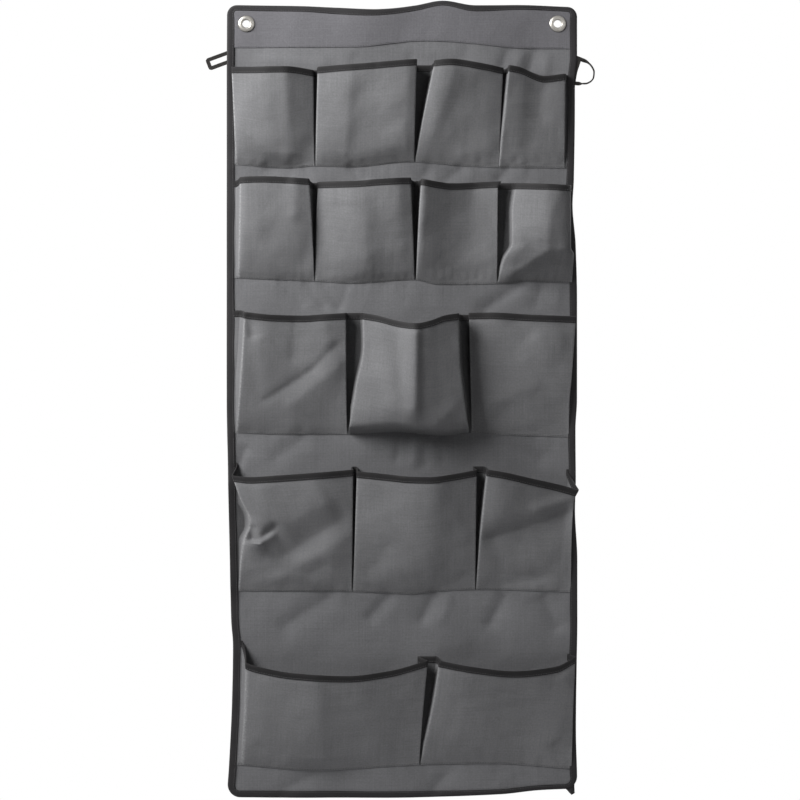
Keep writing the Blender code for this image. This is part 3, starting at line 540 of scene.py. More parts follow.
def thread_piece(name):
    points, cloth = (np.concatenate(rows) for rows in zip(*stitches[name]))
    one = np.arange(STITCH_RINGS * STITCH_SIDES).reshape(STITCH_RINGS, STITCH_SIDES)
    faces = quads(np.pad(one, ((0, 0), (0, 1)), mode="wrap"))
    faces = (faces + np.arange(len(points))[:, None, None] * one.size).reshape(-1, 4)
    return piece_from(name, points, faces, THREAD_LOOK, cloth)


# Materials

WEAVE_PITCH, WARP_PITCH, TWIST_PITCH = 0.00074, 0.0006, 0.0005


class Graph:
    """The nodes of a material or world, with a short call for each kind used here."""

    def __init__(self, owner):
        self.owner = owner
        owner.use_nodes = True
        self.tree = owner.node_tree

    def put(self, socket, value):
        if isinstance(value, bpy.types.NodeSocket):
            self.tree.links.new(value, socket)
        elif value is not None:
            socket.default_value = value

    def finished(self, sockets):
        """Feeds or sets these sockets of the material's own shader, and gives the material."""
        for name, value in sockets.items():
            self.put(self.tree.nodes["Principled BSDF"].inputs[name], value)
        return self.owner

    def node(self, kind, values=(), **settings):
        """A node; values are for its sockets, by their names or in their order."""
        made = self.tree.nodes.new("ShaderNode" + kind)
        for key, value in settings.items():
            setattr(made, key, value)
        for key, value in values.items() if isinstance(values, dict) else enumerate(values):
            self.put(made.inputs[key], value)
        return made

    def math(self, operation, *values):
        return self.node("Math", values, operation=operation).outputs[0]

    def times(self, first, second):
        return self.math("MULTIPLY", first, second)

    def attribute(self, name, output):
        return self.node("Attribute", attribute_name=name).outputs[output]

    def noise(self, place, scale, detail=3.0, roughness=0.55):
        scaled = self.node("VectorMath", (place, scale), operation="MULTIPLY").outputs[0]
        values = {"Vector": scaled, "Scale": 1.0, "Detail": detail, "Roughness": roughness}
        return self.node("TexNoise", values).outputs[0]

    def mapped(self, value, low, high, to_low, to_high):
        return self.node("MapRange", (value, low, high, to_low, to_high)).outputs[0]

    def mix(self, share, first, second):
        values = {"Factor": share, "A": first, "B": second}
        return self.node("Mix", values, data_type="RGBA").outputs["Result"]

    def shade(self, value, color):
        """A colour brightened or darkened by a number."""
        color = color[:3] if isinstance(color, tuple) else color
        return self.node("VectorMath", {0: color, "Scale": value}, operation="SCALE").outputs[0]

    def bump(self, height, distance, strength, under=None):
        values = {"Strength": strength, "Distance": distance, "Height": height, "Normal": under}
        return self.node("Bump", values).outputs[0]

    def split(self, vector):
        return self.node("SeparateXYZ", (vector,)).outputs[:2]


def look(name):
    """A new material, and each point's place along and across it."""
    graph = Graph(bpy.data.materials.new(name))
    return graph, graph.attribute("cloth", "Vector")


def plain_weave(graph, place, pitch):
    """Height of a plain weave from 0 to 1: yarns along and across that pass over each other."""
    wobble = graph.mapped(graph.noise(place, (900, 900, 1), 1.0), 0, 1, -0.16, 0.16)
    u, v = (graph.math("ADD", graph.times(part, 1 / pitch), wobble) for part in graph.split(place))
    heights = []
    for this, other, sign in ((u, v, 0.5), (v, u, -0.5)):
        round_yarn = graph.math("ABSOLUTE", graph.math("COSINE", graph.times(this, math.pi)))
        round_yarn = graph.math("POWER", round_yarn, 1.4)
        yarn = graph.math("COSINE", graph.times(graph.math("ROUND", this), math.pi))
        over = graph.times(yarn, graph.math("COSINE", graph.times(other, math.pi)))
        heights.append(graph.times(round_yarn, graph.math("MULTIPLY_ADD", over, sign, 0.5)))
    return graph.math("MAXIMUM", *heights)


def woven_cloth(name, color, worn_color):
    """Matt polyester canvas: visible weave, uneven yarns, faint mottling, paler worn folds, painted
    shade.
    """
    graph, place = look(name)
    weave = plain_weave(graph, place, WEAVE_PITCH)
    streaks = graph.noise(place, (1350, 14, 1), 2.0)
    cross_streaks = graph.noise(place, (14, 1350, 1), 2.0)
    mottle = graph.noise(place, (17, 17, 1), 4.0)
    specks = graph.noise(place, (420, 420, 1), 2.0)
    tone = graph.mapped(mottle, 0.25, 0.75, 0.92, 1.08)
    for fine, spread in ((streaks, 0.10), (cross_streaks, 0.10), (specks, 0.12)):
        tone = graph.times(tone, graph.mapped(fine, 0.2, 0.8, 1 - spread, 1 + spread))
    tone = graph.times(tone, graph.mapped(weave, 0, 0.9, 0.80, 1.10))
    wear_and_shade = graph.attribute("wear_and_painted_light", "Fac")
    # Painted shade: where the value is below 0, in the pleats and on the lands, the colour is darkened to
    # as little as 0.35 of itself
    tone = graph.times(tone, graph.mapped(wear_and_shade, -1, 0, 0.35, 1))
    # Where the value is above 0 the colour turns paler: wear at the folds, and a painted highlight at the
    # outermost left fold
    wear_and_painted_light = graph.times(wear_and_shade, graph.mapped(specks, 0.35, 0.7, 0.35, 1))
    creasing = graph.bump(graph.noise(place, (110, 90, 1)), 0.0009, 0.35)
    return graph.finished({
        "Base Color": graph.shade(tone, graph.mix(wear_and_painted_light, color, worn_color)),
        "Roughness": graph.mapped(mottle, 0.2, 0.8, 0.82, 0.92),
        "Normal": graph.bump(weave, 0.00016, 0.75, creasing),
        "Specular IOR Level": 0.10, "Sheen Weight": 0.05, "Sheen Roughness": 0.45,
    })


def ribbed_tape(name, color, worn_color, rib=0.00095):
    """Binding tape: fine ribs across its length, finer warp along it, and a slight shine."""
    graph, place = look(name)
    along, across = graph.split(place)
    uneven = graph.noise(place, (700, 260, 1), 2.0)
    wobble = graph.mapped(uneven, 0, 1, -0.7, 0.7)
    turn = graph.math("MULTIPLY_ADD", along, 2 * math.pi / rib, wobble)
    ribs = graph.math("MULTIPLY_ADD", graph.math("SINE", turn), 0.5, 0.5)
    warp = graph.math("SINE", graph.times(across, 2 * math.pi / WARP_PITCH))
    mottle = graph.noise(place, (30, 60, 1))
    tone = graph.times(graph.mapped(ribs, 0, 1, 0.75, 1.15), graph.mapped(mottle, 0.3, 0.7, 0.85, 1.15))
    wear_and_painted_light = graph.times(graph.attribute("wear_and_painted_light", "Fac"), graph.mapped(uneven, 0.3, 0.7, 0.2, 1))
    height = graph.math("ADD", ribs, graph.times(warp, 0.22))
    return graph.finished({
        "Base Color": graph.shade(tone, graph.mix(wear_and_painted_light, color, worn_color)),
        "Roughness": graph.mapped(mottle, 0.2, 0.8, 0.5, 0.66),
        "Normal": graph.bump(height, 0.00012, 0.8),
        "Specular IOR Level": 0.12, "Sheen Weight": 0.04, "Sheen Roughness": 0.4,
    })


def twisted_thread(name, color):
    """Thread: the slant of its twist and a little fuzz."""
    graph, place = look(name)
    along, around = graph.split(place)
    slant = graph.math("MULTIPLY_ADD", around, 0.9, along)
    turn = graph.times(slant, 2 * math.pi / TWIST_PITCH)
    twist = graph.math("MULTIPLY_ADD", graph.math("SINE", turn), 0.5, 0.5)
    fuzz = graph.noise(place, (600, 600, 1), 2.0)
    tone = graph.times(graph.mapped(twist, 0, 1, 0.7, 1.15), graph.mapped(fuzz, 0.3, 0.7, 0.85, 1.15))
    return graph.finished({
        "Base Color": graph.shade(tone, color),
        "Roughness": graph.mapped(fuzz, 0.2, 0.8, 0.45, 0.6),
        "Normal": graph.bump(twist, 0.00006, 0.7),
    })


def worn_nickel(name, clean, tarnished):
    """Nickel plate: fine turning marks, a few dull patches and a warmer, darker tint in them."""
    graph, place = look(name)
    rings = graph.noise(place, (60, 5200, 1), 2.0)
    patches = graph.noise(place, (380, 380, 1), 4.0)
    scratches = graph.noise(place, (2600, 420, 1), 2.0, 0.7)
    dull = graph.mapped(patches, 0.42, 0.72, 0, 1)
    rough = graph.mapped(rings, 0.3, 0.7, 0.26, 0.36)
    return graph.finished({
        "Base Color": graph.mix(graph.times(dull, 0.55), clean, tarnished),
        "Roughness": graph.math("ADD", rough, graph.times(dull, 0.18)),
        "Normal": graph.bump(scratches, 0.00003, 0.35),
        "Metallic": 1.0,
    })


PANEL_CLOTH_LOOK = woven_cloth("panel_cloth", (0.128, 0.128, 0.133, 1), (0.22, 0.22, 0.225, 1))
FACING_CLOTH_LOOK = woven_cloth("facing_cloth", (0.112, 0.110, 0.118, 1), (0.20, 0.20, 0.205, 1))
POCKET_CLOTH_LOOK = woven_cloth("pocket_cloth", (0.137, 0.137, 0.141, 1), (0.26, 0.26, 0.265, 1))
EDGE_TAPE_LOOK = ribbed_tape("edge_tape", (0.0190, 0.0180, 0.0190, 1), (0.036, 0.034, 0.032, 1))
MOUTH_TAPE_LOOK = ribbed_tape("mouth_tape", (0.0140, 0.0134, 0.0140, 1), (0.038, 0.036, 0.036, 1))
LOOP_TAPE_LOOK = ribbed_tape("loop_tape", (0.013, 0.012, 0.011, 1), (0.038, 0.035, 0.032, 1), 0.0008)
THREAD_LOOK = twisted_thread("thread", (0.040, 0.039, 0.040, 1))
NICKEL_LOOK = worn_nickel("grommet_metal", (0.30, 0.29, 0.27, 1), (0.13, 0.115, 0.10, 1))


# The panel and the header facing

UNDER_TAPE = 0.0035
GROMMET_HOLE = 0.0060
# The height at which the left edge is read for the cloth's corner there
TOP_LEFT_EDGE_Z = 0.011


def kept_inside_corners(x, z, inset):
    """Draws points that lie past a rounded corner back to it."""
    corners = (
        (left_edge(TOP_LEFT_EDGE_Z), TOP_LEFT_Z, -1, 1, TOP_CORNER),
        (right_edge(TOP_RIGHT_Z), TOP_RIGHT_Z, 1, 1, TOP_CORNER),
        (left_edge(LOW_LEFT_Z), LOW_LEFT_Z, -1, -1, BOTTOM_CORNER),
        (right_edge(LOW_RIGHT_Z), LOW_RIGHT_Z, 1, -1, BOTTOM_CORNER),
    )
    for edge_x, corner_z, right, up, radius in corners:
        corner_x = edge_x - right * radius
        away = np.hypot(x - corner_x, z - corner_z)
        past = ((x - corner_x) * right > 0) & ((z - corner_z) * up > 0) & (away > radius - inset)
        share = np.where(past, (radius - inset) / np.maximum(away, 1e-9), 1)
        x, z = corner_x + (x - corner_x) * share, corner_z + (z - corner_z) * share
    return x, z


def around_grommets(x, z):
    """Opens the cloth round each grommet's barrel; says which faces are left."""
    middle = [(a[:-1, :-1] + a[:-1, 1:] + a[1:, 1:] + a[1:, :-1]) / 4 for a in (x, z)]
    keep = np.ones(middle[0].shape, bool)
    for place in GROMMETS.values():
        keep &= np.hypot(middle[0] - place.x, middle[1] - place.z) > GROMMET_HOLE * 0.75
        away = np.hypot(x - place.x, z - place.z)
        push = np.where(away < GROMMET_HOLE, GROMMET_HOLE / np.maximum(away, 1e-6), 1)
        x, z = place.x + (x - place.x) * push, place.z + (z - place.z) * push
    return x, z, keep


def flat_cloth(name, low, high, y, thickness, surface):
    """A length of cloth between two functions of x that give its heights."""
    bottom, top = float(low(0.0)), float(high(0.0))
    rows = round((top - bottom) / PANEL_STEP) + 1
    up, across = np.meshgrid(shares(rows), shares(PANEL_COLUMNS), indexing="ij")
    z = bottom + (top - bottom) * up
    left, right = left_edge(z) + UNDER_TAPE, right_edge(z) - UNDER_TAPE
    x = left + (right - left) * across
    z = low(x) + (high(x) - low(x)) * up
    x, z = kept_inside_corners(x, z, UNDER_TAPE)
    x, z, keep = around_grommets(x, z)
    grid = toward_viewer(joined(x, y, z))
    return sheet_piece(name, grid, thickness, surface, joined(x, z), keep=keep)


def at_split(x):
    return SPLIT_Z + 0 * x


def under_top_tape(x):
    return top_edge(x) - UNDER_TAPE


def under_bottom_tape(x):
    return bottom_edge(x) + UNDER_TAPE


panel_upper = flat_cloth(
    "cloth_panel_upper", at_split, under_top_tape, PANEL_Y, PANEL_CLOTH, PANEL_CLOTH_LOOK)
panel_lower = flat_cloth(
    "cloth_panel_lower", under_bottom_tape, at_split, PANEL_Y, PANEL_CLOTH, PANEL_CLOTH_LOOK)
facing = flat_cloth(
    "cloth_header_facing", facing_hem, under_top_tape, FACING_Y, FACING_CLOTH, FACING_CLOTH_LOOK)


# The tape round the edge

EDGE_STITCHES_IN = 1.5 * MM
LINING_FROM_FOLD = 1.2 * MM
EVENED_POINTS = 13


def arc(center_x, center_z, radius, start, end):
    turns = np.radians(np.linspace(start, end, CORNER_POINTS))
    return joined(center_x + radius * np.cos(turns), center_z + radius * np.sin(turns))


def side(edge, start, end):
    z = np.linspace(start, end, EDGE_POINTS)
    return joined(edge(z), z)


def half_round(first, second, end, first_z, second_z, radius, start):
    """From the split along one side, round two corners and the end, and back along the other."""
    inward = 1 if first is left_edge else -1
    first_x, second_x = first(first_z) + inward * radius, second(second_z) - inward * radius
    x = np.linspace(first_x, second_x, EDGE_POINTS)
    return np.concatenate([
        side(first, SPLIT_Z, first_z)[:-1],
        arc(first_x, first_z, radius, start, start - 90)[:-1],
        joined(x, end(x))[1:-1],
        arc(second_x, second_z, radius, start - 90, start - 180)[1:],
        side(second, second_z, SPLIT_Z)[1:],
    ])


def tape_widths(path, end, up, corner, widths):
    """The tape's width along a path, without a step where the tape turns a corner."""
    near_end = up * path[:, 1] > up * end(path[:, 0]) - corner * 0.6
    values = np.where(near_end, through(widths, path[:, 0]), SIDE_TAPE_WIDTH * MM)
    kernel = np.hanning(EVENED_POINTS)
    padded = np.pad(values, EVENED_POINTS // 2, mode="edge")
    return np.convolve(padded, kernel / kernel.sum(), mode="valid")


def tape_section(widths, front_y, back_y):
    """A ring of (distance from the fold, y) points for each width: outside, then inside."""
    middle_y = (front_y + back_y) / 2
    fold = [(0.15 * MM, middle_y - 0.5 * MM), (0.15 * MM, middle_y + 0.5 * MM)]
    rings = []
    for width in widths:
        dent = width - EDGE_STITCHES_IN
        half = (
            (width, TAPE * 0.55), (width - 0.25 * MM, 0), (dent, 0.12 * MM),
            (dent - 1.2 * MM, -0.04 * MM), (2.6 * MM, -0.1 * MM), (0.8 * MM, 0.1 * MM),
        )
        outside = [(s, front_y + rise) for s, rise in half] + fold
        outside += [(s, back_y - rise) for s, rise in half[::-1]]
        inside = [(max(s, LINING_FROM_FOLD), y + (TAPE if y < middle_y else -TAPE)) for s, y in outside]
        rings.append(outside + inside[::-1])
    return np.array(rings)


def folded_tape(name, path, *width_rule):
    """Tape folded over the panel's edge along a path, with its stitches on both sides."""
    path = resampled(path, TAPE_STEP)
    along = lengths_along(path)
    ahead = unit(np.gradient(path, axis=0))
    inward = joined(ahead[:, 1], -ahead[:, 0])
    widths = tape_widths(path, *width_rule) + waves(along, 0, 11, 0.045, 0.00022)
    section = tape_section(widths, EDGE_TAPE_FRONT_Y, EDGE_TAPE_BACK_Y)
    from_fold, y = section[..., 0], section[..., 1]
    flat = path[:, None] + inward[:, None] * from_fold[..., None]
    rings = toward_viewer(joined(flat[..., 0], y, flat[..., 1]))
    near_fold = bell(from_fold / (1.1 * MM))
    wear_and_painted_light = np.clip(near_fold * (0.4 + waves(along, 0, 12, 0.06, 0.35)[:, None]), 0, 1)
    stitched = path + inward * (widths - EDGE_STITCHES_IN)[:, None]
    sew_through(*stitched.T, EDGE_TAPE_FRONT_Y + 0.1 * MM, EDGE_TAPE_BACK_Y - 0.1 * MM)
    return swept(name, rings, EDGE_TAPE_LOOK, joined(along[:, None], from_fold), wear_and_painted_light)


upper_path = half_round(left_edge, right_edge, top_edge, TOP_LEFT_Z, TOP_RIGHT_Z, TOP_CORNER, 180)
lower_path = half_round(right_edge, left_edge, bottom_edge, LOW_RIGHT_Z, LOW_LEFT_Z, BOTTOM_CORNER, 0)
edge_tape_upper = folded_tape(
    "tape_edge_upper", upper_path, top_edge, 1, TOP_CORNER, TOP_TAPE_WIDTH)
edge_tape_lower = folded_tape(
    "tape_edge_lower", lower_path, bottom_edge, -1, BOTTOM_CORNER, BOTTOM_TAPE_WIDTH)


# Pocket strips

class Strip:
    """The cloth of one row of pockets, as a surface over (share of the height, column)."""

    def __init__(self, number, row):
        self.row = row
        self.number = number
        self.low = SEAMS_Z[number]
        self.columns = []
        # Up a pleat's wall the points stand closer together at its foot and at its fold
        wall = ((1 - np.cos(np.pi * shares(WALL_STEPS + 1))) / 2)[:-1]
        last = len(row.pockets) - 1
        for i, pocket in enumerate(row.pockets):
            width = abs(through(pocket.right, -math.inf) - through(pocket.left, -math.inf))
            runs = (
                ("left land", LAND_SHARES),
                ("left", wall),
                ("front", shares(max(8, round(width / FRONT_STEP)) + 1)),
                ("right", wall[::-1]),
                ("right land", LAND_SHARES[::-1] if i == last else LAND_SHARES[:0:-1]),
            )
            self.columns += [(i, kind, share) for kind, run in runs for share in run]
        self.held = np.array(["land" in kind for _, kind, _ in self.columns])

    def seam_x(self, i, z):
        """The place of the i-th line along which the strip is sewn down."""
        if i == 0:
            return left_edge(z) + (SIDE_TAPE_WIDTH * MM - SEWN_UNDER)
        if i == len(self.row.pockets):
            return right_edge(z) - (SIDE_TAPE_WIDTH * MM - SEWN_UNDER)
        return self.row.seams[i - 1] * MM

    def points(self, up):
        """The strip's points at shares of its height, one value per level and column."""
        up = np.broadcast_to(up, (len(up), len(self.columns))).T
        grid = np.stack([self.column_points(*column, t) for column, t in zip(self.columns, up)], axis=1)
        for _ in range(STRIP_SMOOTHINGS):
            around = (grid[:, :-2] + 2 * grid[:, 1:-1] + grid[:, 2:]) / 4
            grid[:, 1:-1] = np.where(self.held[1:-1, None], grid[:, 1:-1], around)
        return toward_viewer(grid)

    def column_points(self, i, kind, share, t):
        pocket = self.row.pockets[i]
        if kind == "front":
            return self.front_points(pocket, share, t)
        side = 0 if kind.startswith("left") else 1
        inner = 1 - 2 * side
        z = self.low + (self.row.feet[i + side] * MM - self.low) * t
        seam_x = self.seam_x(i + side, z)
        fold_x = through((pocket.left, pocket.right)[side], z)
        least, reach = PLEAT_LAND / 2, WALL_REACH
        if i + side in (0, len(self.row.pockets)):
            least, reach = SEWN_UNDER + least, OUTER_WALL_REACH
        land = inner * np.maximum(least, inner * (fold_x - seam_x) - reach)
        z = z + through(self.row.wander, seam_x + land) * (1 - t)
        if "land" in kind:
            return joined(seam_x + land * share, STRIP_Y, z)
        foot = joined(seam_x + land, STRIP_Y, z)
        fold = self.front_points(pocket, float(side), t)
        point = foot + (fold - foot) * share
        bulge = WALL_BULGE * np.sin(np.pi * share) * np.abs(fold[:, 1] - STRIP_Y)
        point[:, 0] += inner * bulge
        return point

    def front_points(self, pocket, share, t):
        """Points of a pocket's front, at one share of its width."""
        ends, mouth_ends = [], []
        for line, end in ((pocket.left, 0), (pocket.right, -1)):
            top_z = pocket.mouth[end][1] * MM
            ends.append(through(line, self.low + (top_z - self.low) * t))
            mouth_ends.append(float(through(line, top_z)))
        x = ends[0] + (ends[1] - ends[0]) * share
        top = through(pocket.mouth, mouth_ends[0] + (mouth_ends[1] - mouth_ends[0]) * share)
        foot = self.low + through(self.row.wander, x)
        z = foot + (top - foot) * t
        depth = through(pocket.section, share, 1.0) * MM * through(pocket.profile, t, 1.0)
        near_sides = np.minimum(1, np.minimum(share, 1 - share) * 9 + 0.25)
        up_fade = np.clip(t * 7, 0, 1) * (1 - 0.55 * np.clip((t - 0.9) / 0.1, 0, 1))
        seed = 100 + self.number * 7 + len(pocket.creases)
        uneven = waves(x, z, seed, 0.055, 0.0004) + waves(x, z, seed + 50, 0.018, 0.00010)
        depth += (lift_of(pocket.creases, x, z) + uneven) * near_sides * up_fade
        return joined(x, STRIP_Y - np.maximum(depth, 0), z)

    def cloth_places(self, grid):
        """Each point's place on the flat cloth, measured from the middle of its pocket."""
        along, height = lengths_along(grid, 1), lengths_along(grid)
        pockets = np.array([i for i, _, _ in self.columns])
        places = along.copy()
        for i in range(len(self.row.pockets)):
            own = np.flatnonzero(pockets == i)
            middle = own[len(own) // 2]
            places[:, own] += along[-1, middle] - along[:, middle:middle + 1]
        return joined(places, height), along[-1, -1], height[-1].max()

    def wear_and_painted_light(self, pocket, kind, share):
        """Paler at worn folds, most at the outermost left as a painted highlight; painted shade in
        pleats.
        """
        # The first pocket's left fold and outer wall are paler than the other folds: a painted highlight
        # on the lit side
        outermost = pocket == 0 and "left" in kind
        # Painted shade: the lands and the feet of the pleats' walls are darkened, except by the outermost
        # left fold in all rows but the fourth
        painted_shade = 0 if outermost and self.number != 3 else 0.75
        if kind == "front":
            return (0.45 if pocket else 0.9) * bell(share / 0.012) + 0.25 * bell((1 - share) / 0.02)
        if "land" in kind:
            return -painted_shade
        return (0.8 if outermost else 0.2) * share**4 - painted_shade * (1 - share) ** 2


def pocket_row(number, row):
    """One row's cloth, the tape over its mouths, and the thread that holds both."""
    strip = Strip(number, row)
    height = max(-SEAMS_Z[number] + p.mouth[0][1] * MM for p in row.pockets)
    even = shares(round(height / LEVEL_STEP) + 1)
    # The levels stand closer together at the foot than at the mouth
    grid = strip.points((even * 0.45 + even**1.8 * 0.55)[:, None])
    cloth, width, tall = strip.cloth_places(grid)
    name = f"cloth_pocket_strip_{number + 1}"
    # Worn paleness at the folds, with a painted highlight at the outermost left fold and painted shade in
    # the pleats
    wear_and_painted_light = [strip.wear_and_painted_light(*column) for column in strip.columns]
    piece = sheet_piece(name, grid, STRIP_CLOTH, POCKET_CLOTH_LOOK, cloth, wear_and_painted_light)
    tape = mouth_tape(f"tape_mouth_{number + 1}", strip, grid)
    sew_strip_down(strip, grid)
    return piece, tape, width, tall


def below_mouth(strip, grid, distance):
    """The strip's points at a distance below its mouth, along the cloth, the lowest line first."""
    tall = np.linalg.norm(grid[-1] - grid[0], axis=1)
    return strip.points(1 - distance[:, None] / tall)[::-1]


def mirrored(rows):
    return [(k, -out, rise, -across) for k, out, rise, across in reversed(rows)]


def mouth_tape(name, strip, grid):
    """Tape folded over the strip's upper edge."""
    down = np.array([0.0, 0.8, 2.2, 4.2, 5.9, MOUTH_TAPE_WIDTH / MM]) * MM
    lines = below_mouth(strip, grid, down)
    normals = grid_normals(lines)[::-1]
    lines = lines[::-1]
    up = unit(lines[0] - lines[1])
    inner = STRIP_CLOTH / 2 + 0.10 * MM
    outer = inner + TAPE
    # Each row is a line below the mouth, how far the tape stands from the cloth and above the
    # line there, and the place across the tape in millimetres; dents are where it is sewn
    dents = np.array([0, 0, -0.02, 0, 0.10, 0.05]) * MM
    half = [(k, outer - dents[k], 0, at) for k, at in ((5, 7.6), (4, 5.9), (3, 4.2), (2, 2.2), (1, 0.8))]
    half.append((0, outer * 0.72, 0.35 * MM, 0.3))
    lining = [(k, inner, 0, at) for k, at in ((1, 1), (3, 4), (5, 7.6))]
    outside = half + [(0, 0, 0.62 * MM, 0)] + mirrored(half)
    section = outside + mirrored(lining) + [(0, 0, 0.12 * MM, 0)] + lining
    rings = np.stack([lines[k] + normals[k] * out + up * rise for k, out, rise, _ in section], axis=1)
    along = lengths_along(lines[0])
    across = np.array([at for _, _, _, at in section])
    near_fold = bell(across) * (np.arange(len(across)) < len(outside))
    uneven = waves(along, 0, 21 + strip.number, 0.05, 0.35)[:, None]
    wear_and_painted_light = np.clip(near_fold * (0.45 + uneven), 0, 1)
    tape = swept(name, rings, MOUTH_TAPE_LOOK, joined(along[:, None], across * MM), wear_and_painted_light)
    sewn = below_mouth(strip, grid, np.array(BELOW_MOUTH) * MM)
    facing = grid_normals(sewn)[1]
    for sign in (1, -1):
        sew(sewn[1] + facing * sign * (outer - 0.06 * MM), facing * sign)
    return tape


def sew_strip_down(strip, grid):
    """Stitches along the strip's foot and up each line between two pockets, in front and behind."""
    facing = grid_normals(grid)
    levels = np.arange(len(grid))
    foot = np.array([np.interp(ABOVE_FOOT, height, levels) for height in lengths_along(grid).T])
    low, share = np.floor(foot).astype(int), (foot % 1)[:, None]
    columns = np.arange(grid.shape[1])
    line = grid[low, columns] * (1 - share) + grid[low + 1, columns] * share
    sew(line + facing[low, columns] * STRIP_CLOTH / 2, facing[low, columns])
    behind = line.copy()
    behind[:, 1] = PANEL_BACK_Y - relief(line[:, 0], line[:, 2])
    sew(behind, (0, 1, 0))
    for i, x in enumerate(strip.row.seams):
        top = strip.row.feet[i + 1] * MM - 1 * MM
        z = np.arange(strip.low + 2.5 * MM, top, 2 * MM)
        sew_through(x * MM, z, STRIP_Y - STRIP_CLOTH / 2, PANEL_BACK_Y)


rows = [pocket_row(number, row) for number, row in enumerate(ROWS)]

# The stitches along the facing's hem, in front and behind
hem_x = np.arange(-0.208, 0.208, 0.003)
sew_through(hem_x, facing_hem(hem_x) + ABOVE_HEM, FACING_Y - FACING_CLOTH / 2, PANEL_BACK_Y)
thread_pieces = [thread_piece(name) for name in stitches]


# Grommets, each from closed (radius, y) profiles in millimetres

GROMMET_SEGMENTS = 72
EYELET = (
    (4.80, -2.4), (4.82, -3.0), (4.95, -3.5), (5.25, -3.88), (5.75, -4.14), (6.4, -4.24),
    (7.2, -4.2), (8.1, -4.0), (9.0, -3.66), (9.75, -3.22), (10.2, -2.82), (10.38, -2.5),
    (10.4, -2.28), (10.28, -2.2), (10.0, -2.3), (9.0, -2.7), (7.6, -2.95), (6.2, -2.9), (5.6, -2.5),
    (5.42, -1.4), (5.42, 0.9), (5.62, 1.12), (6.1, 1.2), (6.7, 1.18), (6.86, 1.36), (6.7, 1.62),
    (6.1, 1.78), (5.4, 1.7), (4.95, 1.4), (4.8, 0.9),
)
WASHER = (
    (5.8, 0.28), (5.9, 0.62), (6.6, 0.92), (7.6, 1.02), (8.7, 0.92), (9.4, 0.62), (9.62, 0.34),
    (9.5, 0.26),
)


def turned(name, profile, place):
    """A ring turned about the grommet's axis from its profile."""
    profile = np.array(profile) * MM
    turns = (np.arange(GROMMET_SEGMENTS) * 2 * np.pi / GROMMET_SEGMENTS)[:, None]
    radius, y = profile.T
    rings = joined(place.x + radius * np.cos(turns), y, place.z + radius * np.sin(turns))
    places = joined(turns * 8 * MM, lengths_along(profile))
    return swept(name, rings, NICKEL_LOOK, places, closed=True)


metal = {}
for side_name, spot in GROMMETS.items():
    metal[f"eyelet_{side_name}"] = turned(f"metal_eyelet_{side_name}", EYELET, spot)
    metal[f"washer_{side_name}"] = turned(f"metal_washer_{side_name}", WASHER, spot)


# Side loops and the tape's spare end

LOOP_TAPE_WIDTH, LOOP_TAPE_THICKNESS, DOUBLED_TAPE = 0.0048, 0.0011, 0.0018
LOOP_STEP = 0.0011
LOOP_ROOT_EDGE = (
    (-74.5, 216.8), (-68, 217.6), (-58, 219.4), (-48, 222.4), (-44, 223.4), (-41.5, 222.4),
)
LEFT_LOOP_CORNERS = ((-217.6, -36.0), (-243.2, -45.4), (-239.2, -55.6), (-217.6, -47.6))
RIGHT_LOOP_POINTS = (
    (217.4, -41.8), (224.5, -44.6), (231, -47.4), (237, -53), (240, -60), (239.4, -66.8),
    (235.4, -72.2), (229, -74.6), (222, -74.6), (215.6, -74.2),
)
# The height at which the right loop's turned-down end starts, and its length
LOOP_ROOT_TOP, LOOP_ROOT_LENGTH = -41.5, 33
# The tips of the edge tape's spare end, from the centre of the corner
TAIL_TIPS = ((8.7, -23.1), (12.8, -21.2))
# A quarter of a loop tape's section, as shares of its width and its thickness
RIBBON_CORNER = ((0.14, 0.44), (0.40, 0.5), (0.47, 0.46), (0.5, 0.18))


def ribbon(name, path, lean, thickness):
    """Loop tape along an (x, z) path; lean is 1 where it lies flat in the panel's plane."""
    ahead = unit(np.gradient(path, axis=0))
    outward = joined(ahead[:, 1], 0, -ahead[:, 0])
    deep = np.array([0.0, 1.0, 0.0])
    turn = (lean * np.pi / 2)[:, None]
    across = outward * np.sin(turn) + deep * np.cos(turn)
    through_tape = outward * np.cos(turn) - deep * np.sin(turn)
    center = joined(path[:, 0], PANEL_Y, path[:, 1])
    lower = [(-s, -t) for s, t in RIBBON_CORNER[::-1]] + [(s, -t) for s, t in RIBBON_CORNER]
    section = np.array(lower + [(-s, -t) for s, t in lower]) * (LOOP_TAPE_WIDTH, thickness)
    rings = np.stack([center + across * s + through_tape * t for s, t in section], axis=1)
    rim = bell((0.5 - np.abs(section[:, 0] / LOOP_TAPE_WIDTH)) / 0.06)
    places = joined(lengths_along(path)[:, None], section[:, 0])
    return swept(name, rings, LOOP_TAPE_LOOK, places, np.broadcast_to(0.5 * rim, rings.shape[:2]))


def left_loop():
    """A flat loop with two turned corners."""
    root_top, tip_top, tip_low, root_low = (np.array(p) * MM for p in LEFT_LOOP_CORNERS)
    turn = 0.0011
    corners = []
    for before, corner, after in ((root_top, tip_top, tip_low), (tip_top, tip_low, root_low)):
        a, b = (corner + unit(end - corner) * turn for end in (before, after))
        for s in shares(6):
            corners.append((1 - s) ** 2 * a + 2 * s * (1 - s) * corner + s**2 * b)
    path = resampled(np.array([root_top] + corners + [root_low]), LOOP_STEP)
    return ribbon("tape_loop_left", path, np.ones(len(path)), LOOP_TAPE_THICKNESS)


